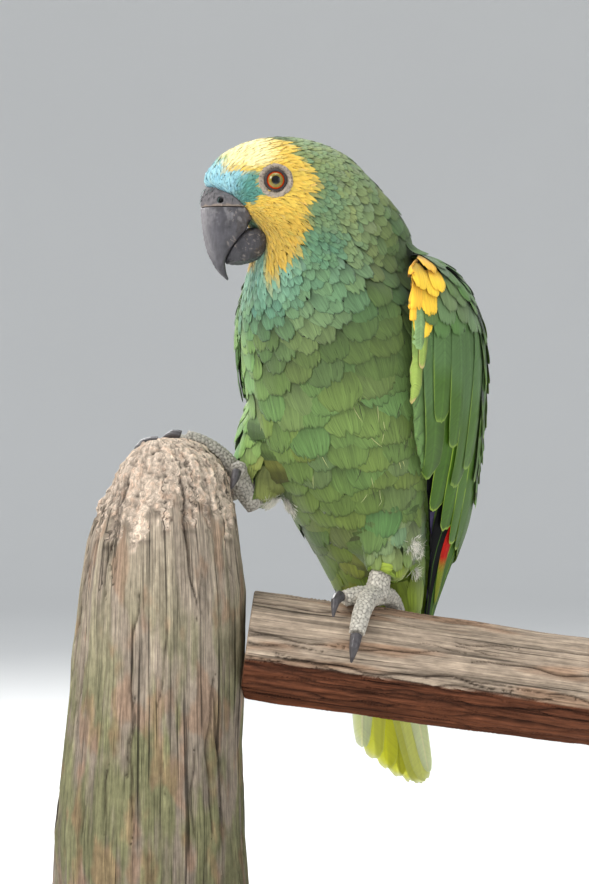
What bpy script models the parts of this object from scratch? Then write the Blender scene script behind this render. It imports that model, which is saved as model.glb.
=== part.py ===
"""A blue-fronted amazon parrot, life size, on a post and rail perch above a round display stand.

Metres, +Z up. The origin is the centre of the underside of the stand's base, the bird's breast faces
-Y and its left side is +X. The perch is turned about Z by PERCH_TURN, and the bird's right foot holds
the top of the post while its left foot holds the rail.
"""

import math

import bmesh
import bpy
from mathutils import Matrix, Vector, noise

MM = 0.001
GAP = 0.35 * MM  # clearance between neighbouring solids
WELD = 0.02 * MM  # points closer than this are one

# The perch: its own axes are ALONG (towards the rail's free end), OUT (level, across the rail) and up.
PERCH_TURN = math.radians(25)
ALONG = Vector((math.cos(PERCH_TURN), math.sin(PERCH_TURN), 0))
OUT = Vector((math.sin(PERCH_TURN), -math.cos(PERCH_TURN), 0))
UP = Vector((0, 0, 1))
PERCH_OUT = 28 * MM  # how far the post's and the rail's axes stand out from the base's centre

BASE_RADIUS = 132 * MM
BASE_HEIGHT = 14 * MM
BASE_RIM = 2 * MM  # width of its softened rim
BASE_SIDES = 32
ROD_RADIUS = 5 * MM
ROD_SIDES = 12
ROD_SPACING = 40 * MM

RAIL_START = -21 * MM
RAIL_LENGTH = 163 * MM
RAIL_HEIGHT = 150.6 * MM  # its axis, at the end beside the post
RAIL_DROP = math.radians(7.9)
RAIL_RADIUS = 23.8 * MM

# The bird: its middle plane is x = MID_X, and the head is turned to the bird's right.
MID_X = 31 * MM
WING_MID_X = 33 * MM  # the folded wings sit a little to its left
HEAD_TURN = math.radians(50)
HEAD_CENTRE = Vector((17.2, -46.6, 349)) * MM
FORWARD = Vector((-math.sin(HEAD_TURN), -math.cos(HEAD_TURN), 0))
LEFT = Vector((math.cos(HEAD_TURN), -math.sin(HEAD_TURN), 0))
EYE_RADIUS = 6.2 * MM
EYE_SIDES = 14
EYE_RINGS = 8
EYE_PLACE = Vector((8.2, 14.6, 2.0)) * MM  # forward, sideways and up from the head's centre

COLOURS = {
    "plumage": (0.16, 0.34, 0.06),
    "wing": (0.09, 0.26, 0.05),
    "quill": (0.03, 0.06, 0.05),
    "tail": (0.42, 0.55, 0.05),
    "horn": (0.06, 0.055, 0.06),
    "cere": (0.12, 0.11, 0.11),
    "iris": (0.45, 0.16, 0.03),
    "foot": (0.45, 0.44, 0.40),
    "wood": (0.36, 0.27, 0.20),
    "stand": (0.05, 0.04, 0.035),
    "rod": (0.55, 0.55, 0.55),
}
ROUGHNESS = {"horn": 0.4, "iris": 0.1, "rod": 0.3, "stand": 0.35}
METALLIC = {"rod": 1.0}

# Rings of the bird from the crown to the tail's tip, in millimetres: height, sideways and backward
# place of the centre, half width, reach forward, reach backward, and turn to the right in degrees.
BODY_RINGS = (
    (371.6, 17.0, -46.0, 4.0, 7.0, 6.0, 50),  # crown
    (369.2, 17.0, -46.5, 10.0, 17.0, 16.5, 50),
    (364.0, 17.2, -46.6, 15.6, 27.5, 28.0, 50),
    (357.5, 17.2, -46.6, 19.0, 33.5, 35.5, 50),  # brow
    (351.0, 17.2, -46.6, 20.6, 36.0, 42.0, 50),  # eye
    (345.0, 17.4, -46.2, 21.6, 26.0, 48.0, 49),  # lore
    (337.0, 18.0, -45.2, 23.5, 19.0, 53.5, 47),  # cheek
    (328.0, 19.5, -43.0, 26.5, 15.0, 56.0, 43),
    (318.0, 22.0, -38.5, 31.0, 20.5, 54.0, 35),  # chin
    (307.0, 26.0, -31.5, 37.5, 29.0, 54.0, 25),  # neck
    (295.0, 28.5, -24.5, 43.5, 34.0, 54.0, 12),  # shoulder
    (278.0, 29.5, -15.0, 46.0, 38.0, 53.0, 3),  # breast
    (256.0, 29.0, -7.0, 44.5, 40.0, 51.0, 0),
    (234.0, 28.5, 0.0, 40.5, 37.5, 47.5, 0),  # belly
    (212.0, 28.0, 7.0, 34.0, 30.0, 42.5, 0),
    (192.0, 29.5, 14.5, 26.5, 21.0, 35.0, 0),  # vent
    (174.0, 31.5, 21.5, 21.0, 13.0, 26.0, 0),
    (157.0, 31.5, 27.0, 18.0, 6.5, 16.0, 0),  # tail coverts
    (141.0, 31.5, 31.0, 18.0, 3.6, 8.0, 0),
    (122.0, 31.5, 35.0, 20.0, 2.6, 3.4, 0),
    (108.0, 32.0, 37.8, 20.5, 2.2, 2.2, 0),
    (95.0, 34.0, 40.2, 18.0, 1.8, 1.8, 0),
    (86.0, 37.5, 41.8, 12.5, 1.4, 1.4, 0),
    (82.0, 40.0, 42.3, 6.0, 1.0, 1.0, 0),  # tail tip
)
BODY_SIDES = 18
BODY_STEPS = 2  # rings made for each one above
BIRD_PIECES = (("head", "plumage"), ("neck", "plumage"), ("trunk", "plumage"), ("tail", "tail"))

# Cuts that part the bird into head, neck, trunk and tail: a height on the axis and a lean in degrees.
NECK_TOP = (324 * MM, 30)
NECK_FOOT = (299 * MM, 20)
TAIL_ROOT = (150 * MM, -14)

# The left wing from shoulder to tip, in millimetres: height, sideways and backward place of its front
# edge and of its back edge from the bird's middle, how far it bulges outward, and its thickness.
WING_SECTIONS = (
    (323.0, 34.0, -16.0, 22.0, 8.0, 4.0, 4.0),
    (318.5, 38.0, -27.0, 22.0, 19.0, 11.0, 9.0),
    (308.0, 41.0, -33.0, 22.0, 30.0, 19.0, 12.0),  # bend of the wing
    (290.0, 42.0, -34.0, 23.0, 38.0, 23.5, 12.0),
    (267.0, 41.5, -31.0, 21.5, 46.0, 23.5, 11.0),
    (242.0, 38.5, -22.0, 17.0, 51.0, 22.5, 10.0),
    (221.0, 34.0, -7.0, 13.0, 54.0, 21.0, 8.5),
    (203.0, 29.0, 10.0, 8.5, 56.0, 18.5, 7.0),
    (189.0, 24.5, 22.0, 6.0, 57.0, 14.5, 5.5),
    (174.0, 20.0, 31.0, 5.0, 57.5, 9.5, 4.2),
    (160.0, 16.0, 38.0, 4.5, 58.0, 5.0, 3.4),
    (146.0, 12.0, 45.0, 5.0, 58.0, 2.2, 2.4),
    (137.0, 9.0, 50.0, 6.0, 56.0, 0.8, 1.8),  # tip
)
WING_SIDE_POINTS = 7
WING_STEPS = 2  # sections made for each one above
WING_BOW = 0.75  # under 1, so that the bulge rises quickly from both edges
WING_FULLNESS = 0.6  # the same for its thickness
WING_CUT_OUT = 20 * MM  # how far behind the breast the cut between coverts and primaries starts
WING_EDGE = 0.9 * MM  # thickness at a wing's front and back edge
PRIMARY_CUT = (190 * MM, 28)  # height on the wing's middle and slope of the cut, in degrees

# The bill is a fan of sections about a pivot, in the head's middle plane: the pivot's place forward
# and up from the head's centre, then each section's angle from straight up, inner and outer radius
# and half width.
BILL_PIVOT = (16 * MM, -16 * MM)
UPPER_BILL = (
    (8, 0.8, 19.5, 7.6),
    (30, 0.7, 22.5, 8.6),
    (50, 0.7, 25.2, 9.0),
    (70, 0.6, 22.8, 8.8),
    (90, 0.6, 20.9, 8.6),
    (108, 0.7, 21.0, 8.2),
    (122, 1.2, 22.0, 7.6),
    (131, 3.0, 22.6, 6.6),
    (137, 10.5, 23.2, 5.6),
    (142, 17.4, 23.8, 4.4),
    (148, 20.6, 24.4, 3.0),
    (154, 23.0, 25.0, 1.6),
    (158, 24.6, 25.4, 0.6),
)
LOWER_BILL = (
    (126, 0.8, 9.0, 4.6),
    (135, 0.8, 16.0, 6.0),
    (143, 0.8, 19.4, 6.6),
    (157, 0.8, 18.4, 7.4),
    (175, 0.8, 16.4, 8.2),
    (195, 0.8, 14.8, 8.4),
    (215, 0.8, 12.8, 8.2),
    (240, 0.8, 10.0, 7.0),
)
BILL_SIDES = 10
BILL_STEPS = 2  # sections made for each one above
RIDGE_ROUNDNESS = 0.8  # 1 is an ellipse and less is squarer
CUTTING_EDGE_ROUNDNESS = 0.45
RIDGE_TAPER = 0.18  # how much narrower the ridge is, as a share of the width
CERE_DROP = 8.4 * MM  # how far the cere reaches below the head's centre

# Thighs, shanks, toes and claws are tubes, each through points along, out and up from the perch's
# origin with the tube's radius there, in millimetres.
THIGH_LEFT = (
    (38, 10, 230, 15.0),
    (41, 16, 213, 16.5),
    (42.5, 20, 199, 15.0),
    (41.5, 23, 188, 11.5),
    (39.5, 25, 180.5, 8.0),
)
THIGH_RIGHT = (
    (3, -6, 268, 14.0),
    (-6, 2, 250, 18.0),
    (-12, 8, 234, 16.0),
    (-16, 12, 221, 11.5),
    (-18, 14.5, 212.5, 7.2),
)
SHANK_LEFT = ((39, 24, 186, 4.4), (37.5, 26, 178, 5.0), (36, 28, 171.5, 5.6))
SHANK_RIGHT = ((-17, 14, 211.5, 5.0), (-21.5, 16.5, 218, 5.4), (-26, 19, 225.5, 5.0))
TOES_LEFT = {
    "inner": ((35, 29, 172, 4.4), (28, 33, 172.5, 4.0), (22, 37, 171.4, 3.5)),
    "front": ((35.5, 29, 172, 4.8), (32, 38, 171, 4.3), (29, 46.5, 165, 4.0), (27, 52, 157.5, 3.5)),
    "outer": ((37, 27, 172, 4.6), (42, 18, 171, 4.0), (46, 9, 164, 3.7), (47, 4, 155, 3.3)),
    "hind": ((36, 27, 172, 4.2), (33, 17, 171, 3.8), (31, 9, 164, 3.3)),
}
CLAWS_LEFT = {
    "inner": ((20.0, 39.4, 172.6, 2.7), (17.8, 44, 170.6, 2.1), (16.8, 47.4, 164, 0.5)),
    "front": ((26.6, 54.2, 156.6, 2.8), (25.6, 57, 151.6, 2.2), (24.4, 55.4, 145, 0.5)),
    "outer": ((47, 1.4, 152.6, 2.5), (46.6, -1, 148, 1.9), (45.8, 1, 142, 0.5)),
    "hind": ((30.6, 5.2, 162.2, 2.4), (30, 2.4, 158.5, 1.8), (29.2, 1.4, 153, 0.5)),
}
TOES_RIGHT = {
    "inner": ((-27, 20, 227, 4.5), (-33, 22, 234, 4.0), (-41, 24, 239.5, 3.6), (-48, 25, 242, 3.3)),
    "front": ((-27, 18, 227, 4.5), (-36, 15, 235, 4.0), (-47, 14, 239.5, 3.7), (-58, 14, 239.5, 3.3)),
    "outer": ((-26, 16, 225, 4.4), (-25, 8, 221, 3.9), (-29, 1, 216, 3.4)),
    "hind": ((-26, 22, 226, 4.2), (-24.5, 28, 228, 3.6), (-25, 32, 227.6, 3.1)),
}
CLAWS_RIGHT = {
    "inner": ((-50.6, 25.2, 242.8, 2.4), (-54, 25, 243.6, 1.9), (-58.6, 24, 241.6, 0.5)),
    "front": (
        (-61.2, 14.6, 240, 2.7),
        (-67.4, 15.6, 239.4, 2.2),
        (-71.6, 17, 234, 1.5),
        (-73.4, 18, 228.6, 0.5),
    ),
    "outer": ((-31, -1.6, 213, 2.4), (-34, -4, 209, 1.8), (-37, -3.6, 204.5, 0.5)),
    "hind": ((-25.4, 34.6, 227, 2.3), (-26.2, 37.2, 223.6, 1.8), (-28, 36.4, 219.4, 0.5)),
}
TUBE_RINGS = 2  # rings made along a tube for each point above
TUBE_WELD = 0.05 * MM  # points of a tube's filled ends closer than this are one

# The post from its gnawed top down, in millimetres: height, its centre along the perch, and radius.
POST_SECTIONS = (
    (241, -54.5, 6.0),
    (239, -54.0, 13.0),
    (233, -53.6, 20.0),
    (225, -54.6, 26.0),
    (212, -56.6, 31.0),
    (196, -58.4, 34.4),
    (174, -58.8, 36.8),
    (144, -60.6, 37.8),
    (108, -61.6, 39.8),
    (70, -63.4, 42.4),
    (40, -63.6, 43.0),
)
POST_SIDES = 18
# The rail's section: degrees from its top towards OUT, and its radius as a share of RAIL_RADIUS.
RAIL_SECTION = (
    (0, 1.0),
    (24, 1.0),
    (48, 1.02),
    (74, 1.05),
    (98, 1.08),  # the arris between the worn face and the split underside
    (120, 0.98),
    (144, 0.96),
    (170, 1.0),
    (196, 1.0),
    (222, 0.98),
    (248, 0.96),
    (276, 0.95),
    (304, 0.97),
    (332, 0.99),
)
RAIL_RINGS = 11
RAIL_ROUGHNESS = 0.035  # unevenness of the wood as a share of its radius
POST_ROUGHNESS = 0.07
RAIL_FLUTES = 2.0  # how many hollows lie round the wood, about
POST_FLUTES = 2.2
RAIL_WAVE = 0.45  # how fast they change from one ring to the next
POST_WAVE = 60.0  # millimetres over which they change along the post
RAIL_SHIFT = 7  # makes the rail's hollows differ from the post's


def clear_scene():
    for obj in list(bpy.data.objects):
        bpy.data.objects.remove(obj)


def make_materials():
    made = {}
    for name, colour in COLOURS.items():
        mat = bpy.data.materials.new(name)
        mat.use_nodes = True
        shader = mat.node_tree.nodes["Principled BSDF"]
        shader.inputs["Base Color"].default_value = (*colour, 1)
        shader.inputs["Roughness"].default_value = ROUGHNESS.get(name, 0.75)
        shader.inputs["Metallic"].default_value = METALLIC.get(name, 0.0)
        made[name] = mat
    return made


def make_collection(name):
    collection = bpy.data.collections.new(name)
    bpy.context.scene.collection.children.link(collection)
    return collection


def add_object(name, mesh, collection, mat=None):
    obj = bpy.data.objects.new(name, mesh)
    collection.objects.link(obj)
    if mat:
        mesh.materials.clear()
        mesh.materials.append(mat)
    return obj


def helper(obj):
    """Marks a cutter or guide, which is no part of the object."""
    obj.hide_render = True
    obj.display_type = "WIRE"
    return obj


def baked(obj):
    """The object's mesh with its modifiers applied and its place in its vertices, as a new mesh."""
    bpy.context.view_layer.update()
    graph = bpy.context.evaluated_depsgraph_get()
    mesh = bpy.data.meshes.new_from_object(obj.evaluated_get(graph))
    mesh.transform(obj.matrix_world)
    return mesh


def apply_modifiers(obj):
    mesh = baked(obj)
    obj.modifiers.clear()
    obj.data = mesh
    obj.matrix_world = Matrix.Identity(4)
    return obj


def tidy_mesh(mesh, weld=WELD):
    """Welds points that coincide, makes every face a triangle and turns it outward."""
    bm = bmesh.new()
    bm.from_mesh(mesh)
    bmesh.ops.remove_doubles(bm, verts=bm.verts, dist=weld)
    bmesh.ops.triangulate(bm, faces=bm.faces)
    bmesh.ops.recalc_face_normals(bm, faces=bm.faces)
    bm.to_mesh(mesh)
    bm.free()
    return mesh


def smooth(obj, angle=40):
    obj.data.shade_smooth()
    obj.data.set_sharp_from_angle(angle=math.radians(angle))


def combine(obj, others, operation):
    """Boolean of obj with each other object in turn, applied."""
    for other in others:
        modifier = obj.modifiers.new(operation.lower(), "BOOLEAN")
        modifier.operation = operation
        modifier.solver = "EXACT"
        modifier.use_self = True  # a grown cutter can cross itself in tight corners
        modifier.object = other
        apply_modifiers(obj)
        tidy_mesh(obj.data)
    return obj


def inflated(obj, collection, amount=GAP):
    """A cutter that is obj grown by amount along its normals."""
    cutter = add_object(obj.name + "_cutter", baked(obj), collection)
    modifier = cutter.modifiers.new("grow", "DISPLACE")
    modifier.strength = amount
    modifier.mid_level = 0
    apply_modifiers(cutter)
    return helper(cutter)


def largest_body(mesh):
    """Drops every loose island but the largest, which trimming can leave behind."""
    bm = bmesh.new()
    bm.from_mesh(mesh)
    islands, seen = [], set()
    for start in bm.verts:
        if start in seen:
            continue
        island, waiting = [], [start]
        seen.add(start)
        while waiting:
            vert = waiting.pop()
            island.append(vert)
            for edge in vert.link_edges:
                other = edge.other_vert(vert)
                if other not in seen:
                    seen.add(other)
                    waiting.append(other)
        islands.append(island)
    islands.sort(key=len)
    for island in islands[:-1]:
        bmesh.ops.delete(bm, geom=island, context="VERTS")
    bm.to_mesh(mesh)
    bm.free()
    return mesh


def keep_side(mesh, point, normal):
    """Cuts the mesh at a plane, drops what lies on the normal's side, and closes the cut."""
    bm = bmesh.new()
    bm.from_mesh(mesh)
    cut = bmesh.ops.bisect_plane(
        bm,
        geom=[*bm.verts, *bm.edges, *bm.faces],
        plane_co=point,
        plane_no=normal,
        clear_outer=True,
    )
    edges = [e for e in cut["geom_cut"] if isinstance(e, bmesh.types.BMEdge)]
    bmesh.ops.contextual_create(bm, geom=edges)
    bmesh.ops.recalc_face_normals(bm, faces=bm.faces)
    bm.to_mesh(mesh)
    bm.free()
    return mesh


def smooth_between(before, low, high, after, t):
    """A value a share t of the way from low to high, on a smooth curve through all four."""
    slope = high - before
    bend = 2 * before - 5 * low + 4 * high - after
    twist = 3 * low - before - 3 * high + after
    return 0.5 * (2 * low + slope * t + bend * t**2 + twist * t**3)


def between_rows(rows, steps):
    """The rows of numbers with steps - 1 more between each two, on a Catmull-Rom curve."""
    rows = [tuple(map(float, row)) for row in rows]
    found = []
    for i in range(len(rows) - 1):
        a, b = rows[max(i - 1, 0)], rows[i]
        c, d = rows[i + 1], rows[min(i + 2, len(rows) - 1)]
        for k in range(steps):
            t = k / steps
            found.append(tuple(smooth_between(*four, t) for four in zip(a, b, c, d)))
    found.append(rows[-1])
    return found


def loft(rings):
    """A closed mesh through rings of points, all with as many points, with flat ends."""
    bm = bmesh.new()
    loops = [[bm.verts.new(point) for point in ring] for ring in rings]
    count = len(loops[0])
    for near, far in zip(loops, loops[1:]):
        for i in range(count):
            j = (i + 1) % count
            bm.faces.new((near[i], near[j], far[j], far[i]))
    bm.faces.new(loops[0][::-1])
    bm.faces.new(loops[-1])
    mesh = bpy.data.meshes.new("loft")
    bm.to_mesh(mesh)
    bm.free()
    return tidy_mesh(mesh)


def body_ring(row):
    """One level ring of the bird: an ellipse with its own reach forward and backward, turned."""
    height, x, y, side, front, back, turn = row
    centre = Vector((x, y, height)) * MM
    ahead = Vector((-math.sin(math.radians(turn)), -math.cos(math.radians(turn)), 0))
    across = Vector((-ahead.y, ahead.x, 0))
    points = []
    for i in range(BODY_SIDES):
        angle = 2 * math.pi * i / BODY_SIDES
        reach = front if math.cos(angle) > 0 else back
        points.append(centre + (across * side * math.sin(angle) + ahead * reach * math.cos(angle)) * MM)
    return points


def cut_plane(height, lean):
    """Point and upward normal of a cut across the bird, which leans back by so many degrees."""
    tilt = math.radians(lean)
    return Vector((MID_X, 0, height)), Vector((0, -math.sin(tilt), math.cos(tilt)))


def part_bird(collection, mats):
    """The bird from crown to tail tip as one form, parted into head, neck, trunk and tail."""
    whole = loft([body_ring(row) for row in between_rows(BODY_RINGS, BODY_STEPS)])
    cuts = [cut_plane(*cut) for cut in (NECK_TOP, NECK_FOOT, TAIL_ROOT)]
    pieces = {}
    for i, (name, mat) in enumerate(BIRD_PIECES):
        mesh = whole.copy()
        if i < len(cuts):
            point, normal = cuts[i]
            keep_side(mesh, point + normal * GAP / 2, -normal)
        if i > 0:
            point, normal = cuts[i - 1]
            keep_side(mesh, point - normal * GAP / 2, normal)
        pieces[name] = add_object(name, mesh, collection, mats[mat])
    return pieces


def wing_ring(row, side):
    """One level section of a wing: a bowed strip, thick in the middle and thin at both edges."""
    height, front_x, front_y, back_x, back_y, bulge, thickness = row
    front = Vector((front_x, front_y, 0)) * MM
    back = Vector((back_x, back_y, 0)) * MM
    chord = back - front
    outward = Vector((chord.y, -chord.x, 0)).normalized()
    outer, inner = [], []
    for i in range(WING_SIDE_POINTS):
        t = i / (WING_SIDE_POINTS - 1)
        bow = math.sin(math.pi * t) ** WING_BOW
        point = front + chord * t + outward * bulge * MM * bow
        half = WING_EDGE + (thickness * MM - WING_EDGE) * math.sin(math.pi * t) ** WING_FULLNESS
        outer.append(point)
        inner.append(point - outward * half)
    lift = Vector((WING_MID_X, 0, height * MM))
    return [Vector((p.x * side, p.y, 0)) + lift for p in outer + inner[::-1]]


def make_wing(name, side, body_cutters, collection, mats):
    """A folded wing, parted by a sloping cut into its coverts and secondaries, and its primaries."""
    mesh = loft([wing_ring(row, side) for row in between_rows(WING_SECTIONS, WING_STEPS)])
    whole = add_object("wing_" + name, mesh, collection, mats["wing"])
    combine(whole, body_cutters, "DIFFERENCE")
    largest_body(whole.data)
    height, slope = PRIMARY_CUT
    point = Vector((MID_X, WING_CUT_OUT, height))
    normal = Vector((0, math.sin(math.radians(slope)), math.cos(math.radians(slope))))
    primaries = add_object("primaries_" + name, whole.data.copy(), collection, mats["quill"])
    keep_side(whole.data, point + normal * GAP / 2, -normal)
    keep_side(primaries.data, point - normal * GAP / 2, normal)
    return whole, primaries


def head_point(forward, left, up):
    return HEAD_CENTRE + FORWARD * forward + LEFT * left + UP * up


def bill_ring(row):
    """One section of the bill, in a plane through the pivot: a rounded wedge."""
    angle, inner, outer, half = row
    way = FORWARD * math.sin(math.radians(angle)) + UP * math.cos(math.radians(angle))
    pivot = head_point(BILL_PIVOT[0], 0, BILL_PIVOT[1])
    middle, reach = (inner + outer) / 2 * MM, (outer - inner) / 2 * MM
    points = []
    for i in range(BILL_SIDES):
        turn = 2 * math.pi * i / BILL_SIDES
        out, across = math.cos(turn), math.sin(turn)
        squareness = RIDGE_ROUNDNESS if out > 0 else CUTTING_EDGE_ROUNDNESS
        narrowed = 1 - RIDGE_TAPER * max(out, 0)
        squared = math.copysign(abs(across) ** squareness, across) * narrowed
        points.append(pivot + way * (middle + reach * out) + LEFT * half * MM * squared)
    return points


def make_bill(head_cutter, collection, cutters, mats):
    """Upper bill with its cere, and lower bill, fitted to the face and to each other."""
    mesh = loft([bill_ring(row) for row in between_rows(UPPER_BILL, BILL_STEPS)])
    upper = add_object("bill_upper", mesh, collection, mats["horn"])
    combine(upper, [head_cutter], "DIFFERENCE")
    lower_mesh = loft([bill_ring(row) for row in between_rows(LOWER_BILL, BILL_STEPS)])
    lower = add_object("bill_lower", lower_mesh, collection, mats["horn"])
    combine(lower, [head_cutter, inflated(upper, cutters)], "DIFFERENCE")
    cere = add_object("cere", upper.data.copy(), collection, mats["cere"])
    point = head_point(0, 0, -CERE_DROP)
    keep_side(cere.data, point + UP * GAP / 2, -UP)
    keep_side(upper.data, point - UP * GAP / 2, UP)
    return upper, lower, cere


def make_sphere(name, centre, radius, collection, mat=None):
    bm = bmesh.new()
    bmesh.ops.create_uvsphere(bm, u_segments=EYE_SIDES, v_segments=EYE_RINGS, radius=radius)
    mesh = bpy.data.meshes.new(name)
    bm.to_mesh(mesh)
    bm.free()
    mesh.transform(Matrix.Translation(centre))
    return add_object(name, mesh, collection, mat)


def make_eyes(head, collection, cutters, mats):
    for name, side in (("left", 1), ("right", -1)):
        forward, across, up = EYE_PLACE
        centre = head_point(forward, across * side, up)
        make_sphere("eye_" + name, centre, EYE_RADIUS, collection, mats["iris"])
        socket = helper(make_sphere("socket_" + name, centre, EYE_RADIUS + GAP, cutters))
        combine(head, [socket], "DIFFERENCE")


def perch_place(along, out, height):
    return (ALONG * along + OUT * out + UP * height) * MM


def make_post(collection, mats):
    """The upright post, which swells towards its foot, with a gnawed round top."""
    rings = []
    for height, along, radius in between_rows(POST_SECTIONS, 1):
        ring = []
        for i in range(POST_SIDES):
            turn = 2 * math.pi * i / POST_SIDES
            wander = Vector((math.cos(turn), math.sin(turn), 0)) * POST_FLUTES
            uneven = noise.noise(wander + UP * height / POST_WAVE)
            reach = radius * (1 + POST_ROUGHNESS * uneven)
            out = PERCH_OUT / MM + reach * math.sin(turn)
            ring.append(perch_place(along + reach * math.cos(turn), out, height))
        rings.append(ring)
    return add_object("perch_post", loft(rings), collection, mats["wood"])


def make_rail(post_cutter, collection, mats):
    """The sloping rail, whose near end butts against the post."""
    way = ALONG * math.cos(RAIL_DROP) - UP * math.sin(RAIL_DROP)
    over = ALONG * math.sin(RAIL_DROP) + UP * math.cos(RAIL_DROP)
    start = ALONG * RAIL_START + OUT * PERCH_OUT + UP * RAIL_HEIGHT
    rings = []
    for k in range(RAIL_RINGS):
        centre = start + way * RAIL_LENGTH * k / (RAIL_RINGS - 1)
        ring = []
        for degrees, share in RAIL_SECTION:
            turn = math.radians(degrees)
            wander = Vector((0, math.cos(turn), math.sin(turn))) * RAIL_FLUTES
            uneven = noise.noise(wander + Vector((k * RAIL_WAVE, 0, RAIL_SHIFT)))
            reach = RAIL_RADIUS * share * (1 + RAIL_ROUGHNESS * uneven)
            ring.append(centre + (over * math.cos(turn) + OUT * math.sin(turn)) * reach)
        rings.append(ring)
    rail = add_object("perch_rail", loft(rings), collection, mats["wood"])
    return combine(rail, [post_cutter], "DIFFERENCE")


def make_stand(collection, mats):
    """A flat round base with a softened rim, and two short rods up to the post."""
    bm = bmesh.new()
    bmesh.ops.create_cone(
        bm, cap_ends=True, segments=BASE_SIDES, radius1=BASE_RADIUS, radius2=BASE_RADIUS, depth=BASE_HEIGHT
    )
    mesh = bpy.data.meshes.new("stand_base")
    bm.to_mesh(mesh)
    bm.free()
    mesh.transform(Matrix.Translation(UP * BASE_HEIGHT / 2))
    base = add_object("stand_base", mesh, collection, mats["stand"])
    rim = base.modifiers.new("rim", "BEVEL")
    rim.width = BASE_RIM
    rim.segments = 1
    apply_modifiers(base)
    foot = POST_SECTIONS[-1][1]
    length = POST_SECTIONS[-1][0] * MM - BASE_HEIGHT - 2 * GAP
    for name, side in (("left", -1), ("right", 1)):
        bm = bmesh.new()
        bmesh.ops.create_cone(
            bm, cap_ends=True, segments=ROD_SIDES, radius1=ROD_RADIUS, radius2=ROD_RADIUS, depth=length
        )
        mesh = bpy.data.meshes.new("stand_rod_" + name)
        bm.to_mesh(mesh)
        bm.free()
        place = perch_place(foot + side * ROD_SPACING / 2 / MM, PERCH_OUT / MM, 0)
        mesh.transform(Matrix.Translation(place + UP * (BASE_HEIGHT + GAP + length / 2)))
        add_object("stand_rod_" + name, mesh, collection, mats["rod"])


def tube(name, rows, collection, mat=None):
    """A round tube with filled ends through rows of along, out, up and radius in millimetres."""
    curve = bpy.data.curves.new(name, "CURVE")
    curve.dimensions = "3D"
    curve.bevel_depth = 1.0
    curve.bevel_resolution = 2
    curve.use_fill_caps = True
    rows = between_rows(rows, TUBE_RINGS)
    spline = curve.splines.new("POLY")
    spline.points.add(len(rows) - 1)
    for point, (along, out, height, radius) in zip(spline.points, rows):
        point.co = (*perch_place(along, out, height), 1)
        point.radius = radius * MM
    guide = bpy.data.objects.new(name + "_line", curve)
    bpy.context.scene.collection.objects.link(guide)
    mesh = tidy_mesh(baked(guide), TUBE_WELD)
    bpy.data.objects.remove(guide)
    return add_object(name, mesh, collection, mat)


def make_foot(name, shank, toes, claws, wood, collection, mats):
    """A shank and four toes as one form, pressed against the wood, and a claw on each toe."""
    foot = tube("foot_" + name, shank, collection, mats["foot"])
    guides = bpy.data.collections.get("cutters")
    parts = [helper(tube(f"toe_{name}_{toe}", rows, guides)) for toe, rows in toes.items()]
    combine(foot, parts, "UNION")
    combine(foot, wood, "DIFFERENCE")
    largest_body(foot.data)
    foot_cutter = inflated(foot, guides)
    for toe, rows in claws.items():
        claw = tube(f"claw_{name}_{toe}", rows, collection, mats["horn"])
        combine(claw, [foot_cutter, *wood], "DIFFERENCE")
        largest_body(claw.data)
    return foot_cutter


def main():
    clear_scene()
    parrot = make_collection("amazon_parrot")
    cutters = make_collection("cutters")
    mats = make_materials()
    bird = part_bird(parrot, mats)
    fitted = [inflated(bird[name], cutters) for name in ("head", "neck", "trunk", "tail")]
    post = make_post(parrot, mats)
    post_cutter = inflated(post, cutters)
    rail = make_rail(post_cutter, parrot, mats)
    wood = [post_cutter, inflated(rail, cutters)]
    make_stand(parrot, mats)
    limbs = (
        ("left", 1, THIGH_LEFT, SHANK_LEFT, TOES_LEFT, CLAWS_LEFT),
        ("right", -1, THIGH_RIGHT, SHANK_RIGHT, TOES_RIGHT, CLAWS_RIGHT),
    )
    for name, side, thigh_rows, shank, toes, claws in limbs:
        foot_cutter = make_foot(name, shank, toes, claws, wood, parrot, mats)
        thigh = tube("thigh_" + name, thigh_rows, parrot, mats["plumage"])
        combine(thigh, [*fitted[1:3], foot_cutter], "DIFFERENCE")
        largest_body(thigh.data)
        make_wing(name, side, [*fitted, inflated(thigh, cutters)], parrot, mats)
    make_bill(fitted[0], parrot, cutters, mats)
    make_eyes(bird["head"], parrot, cutters, mats)
    for obj in parrot.objects:
        smooth(obj)


main()
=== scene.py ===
"""A blue-fronted amazon parrot in its full coat of feathers, on a wood perch above a round display stand.

Metres, +Z up. The breast faces -Y and the bird's left side is +X. The head is turned to the bird's
right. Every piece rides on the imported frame's one body.
"""

import math

import bmesh
import bpy
import numpy as np
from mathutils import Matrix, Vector, noise
from mathutils.bvhtree import BVHTree
from mathutils.kdtree import KDTree


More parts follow.
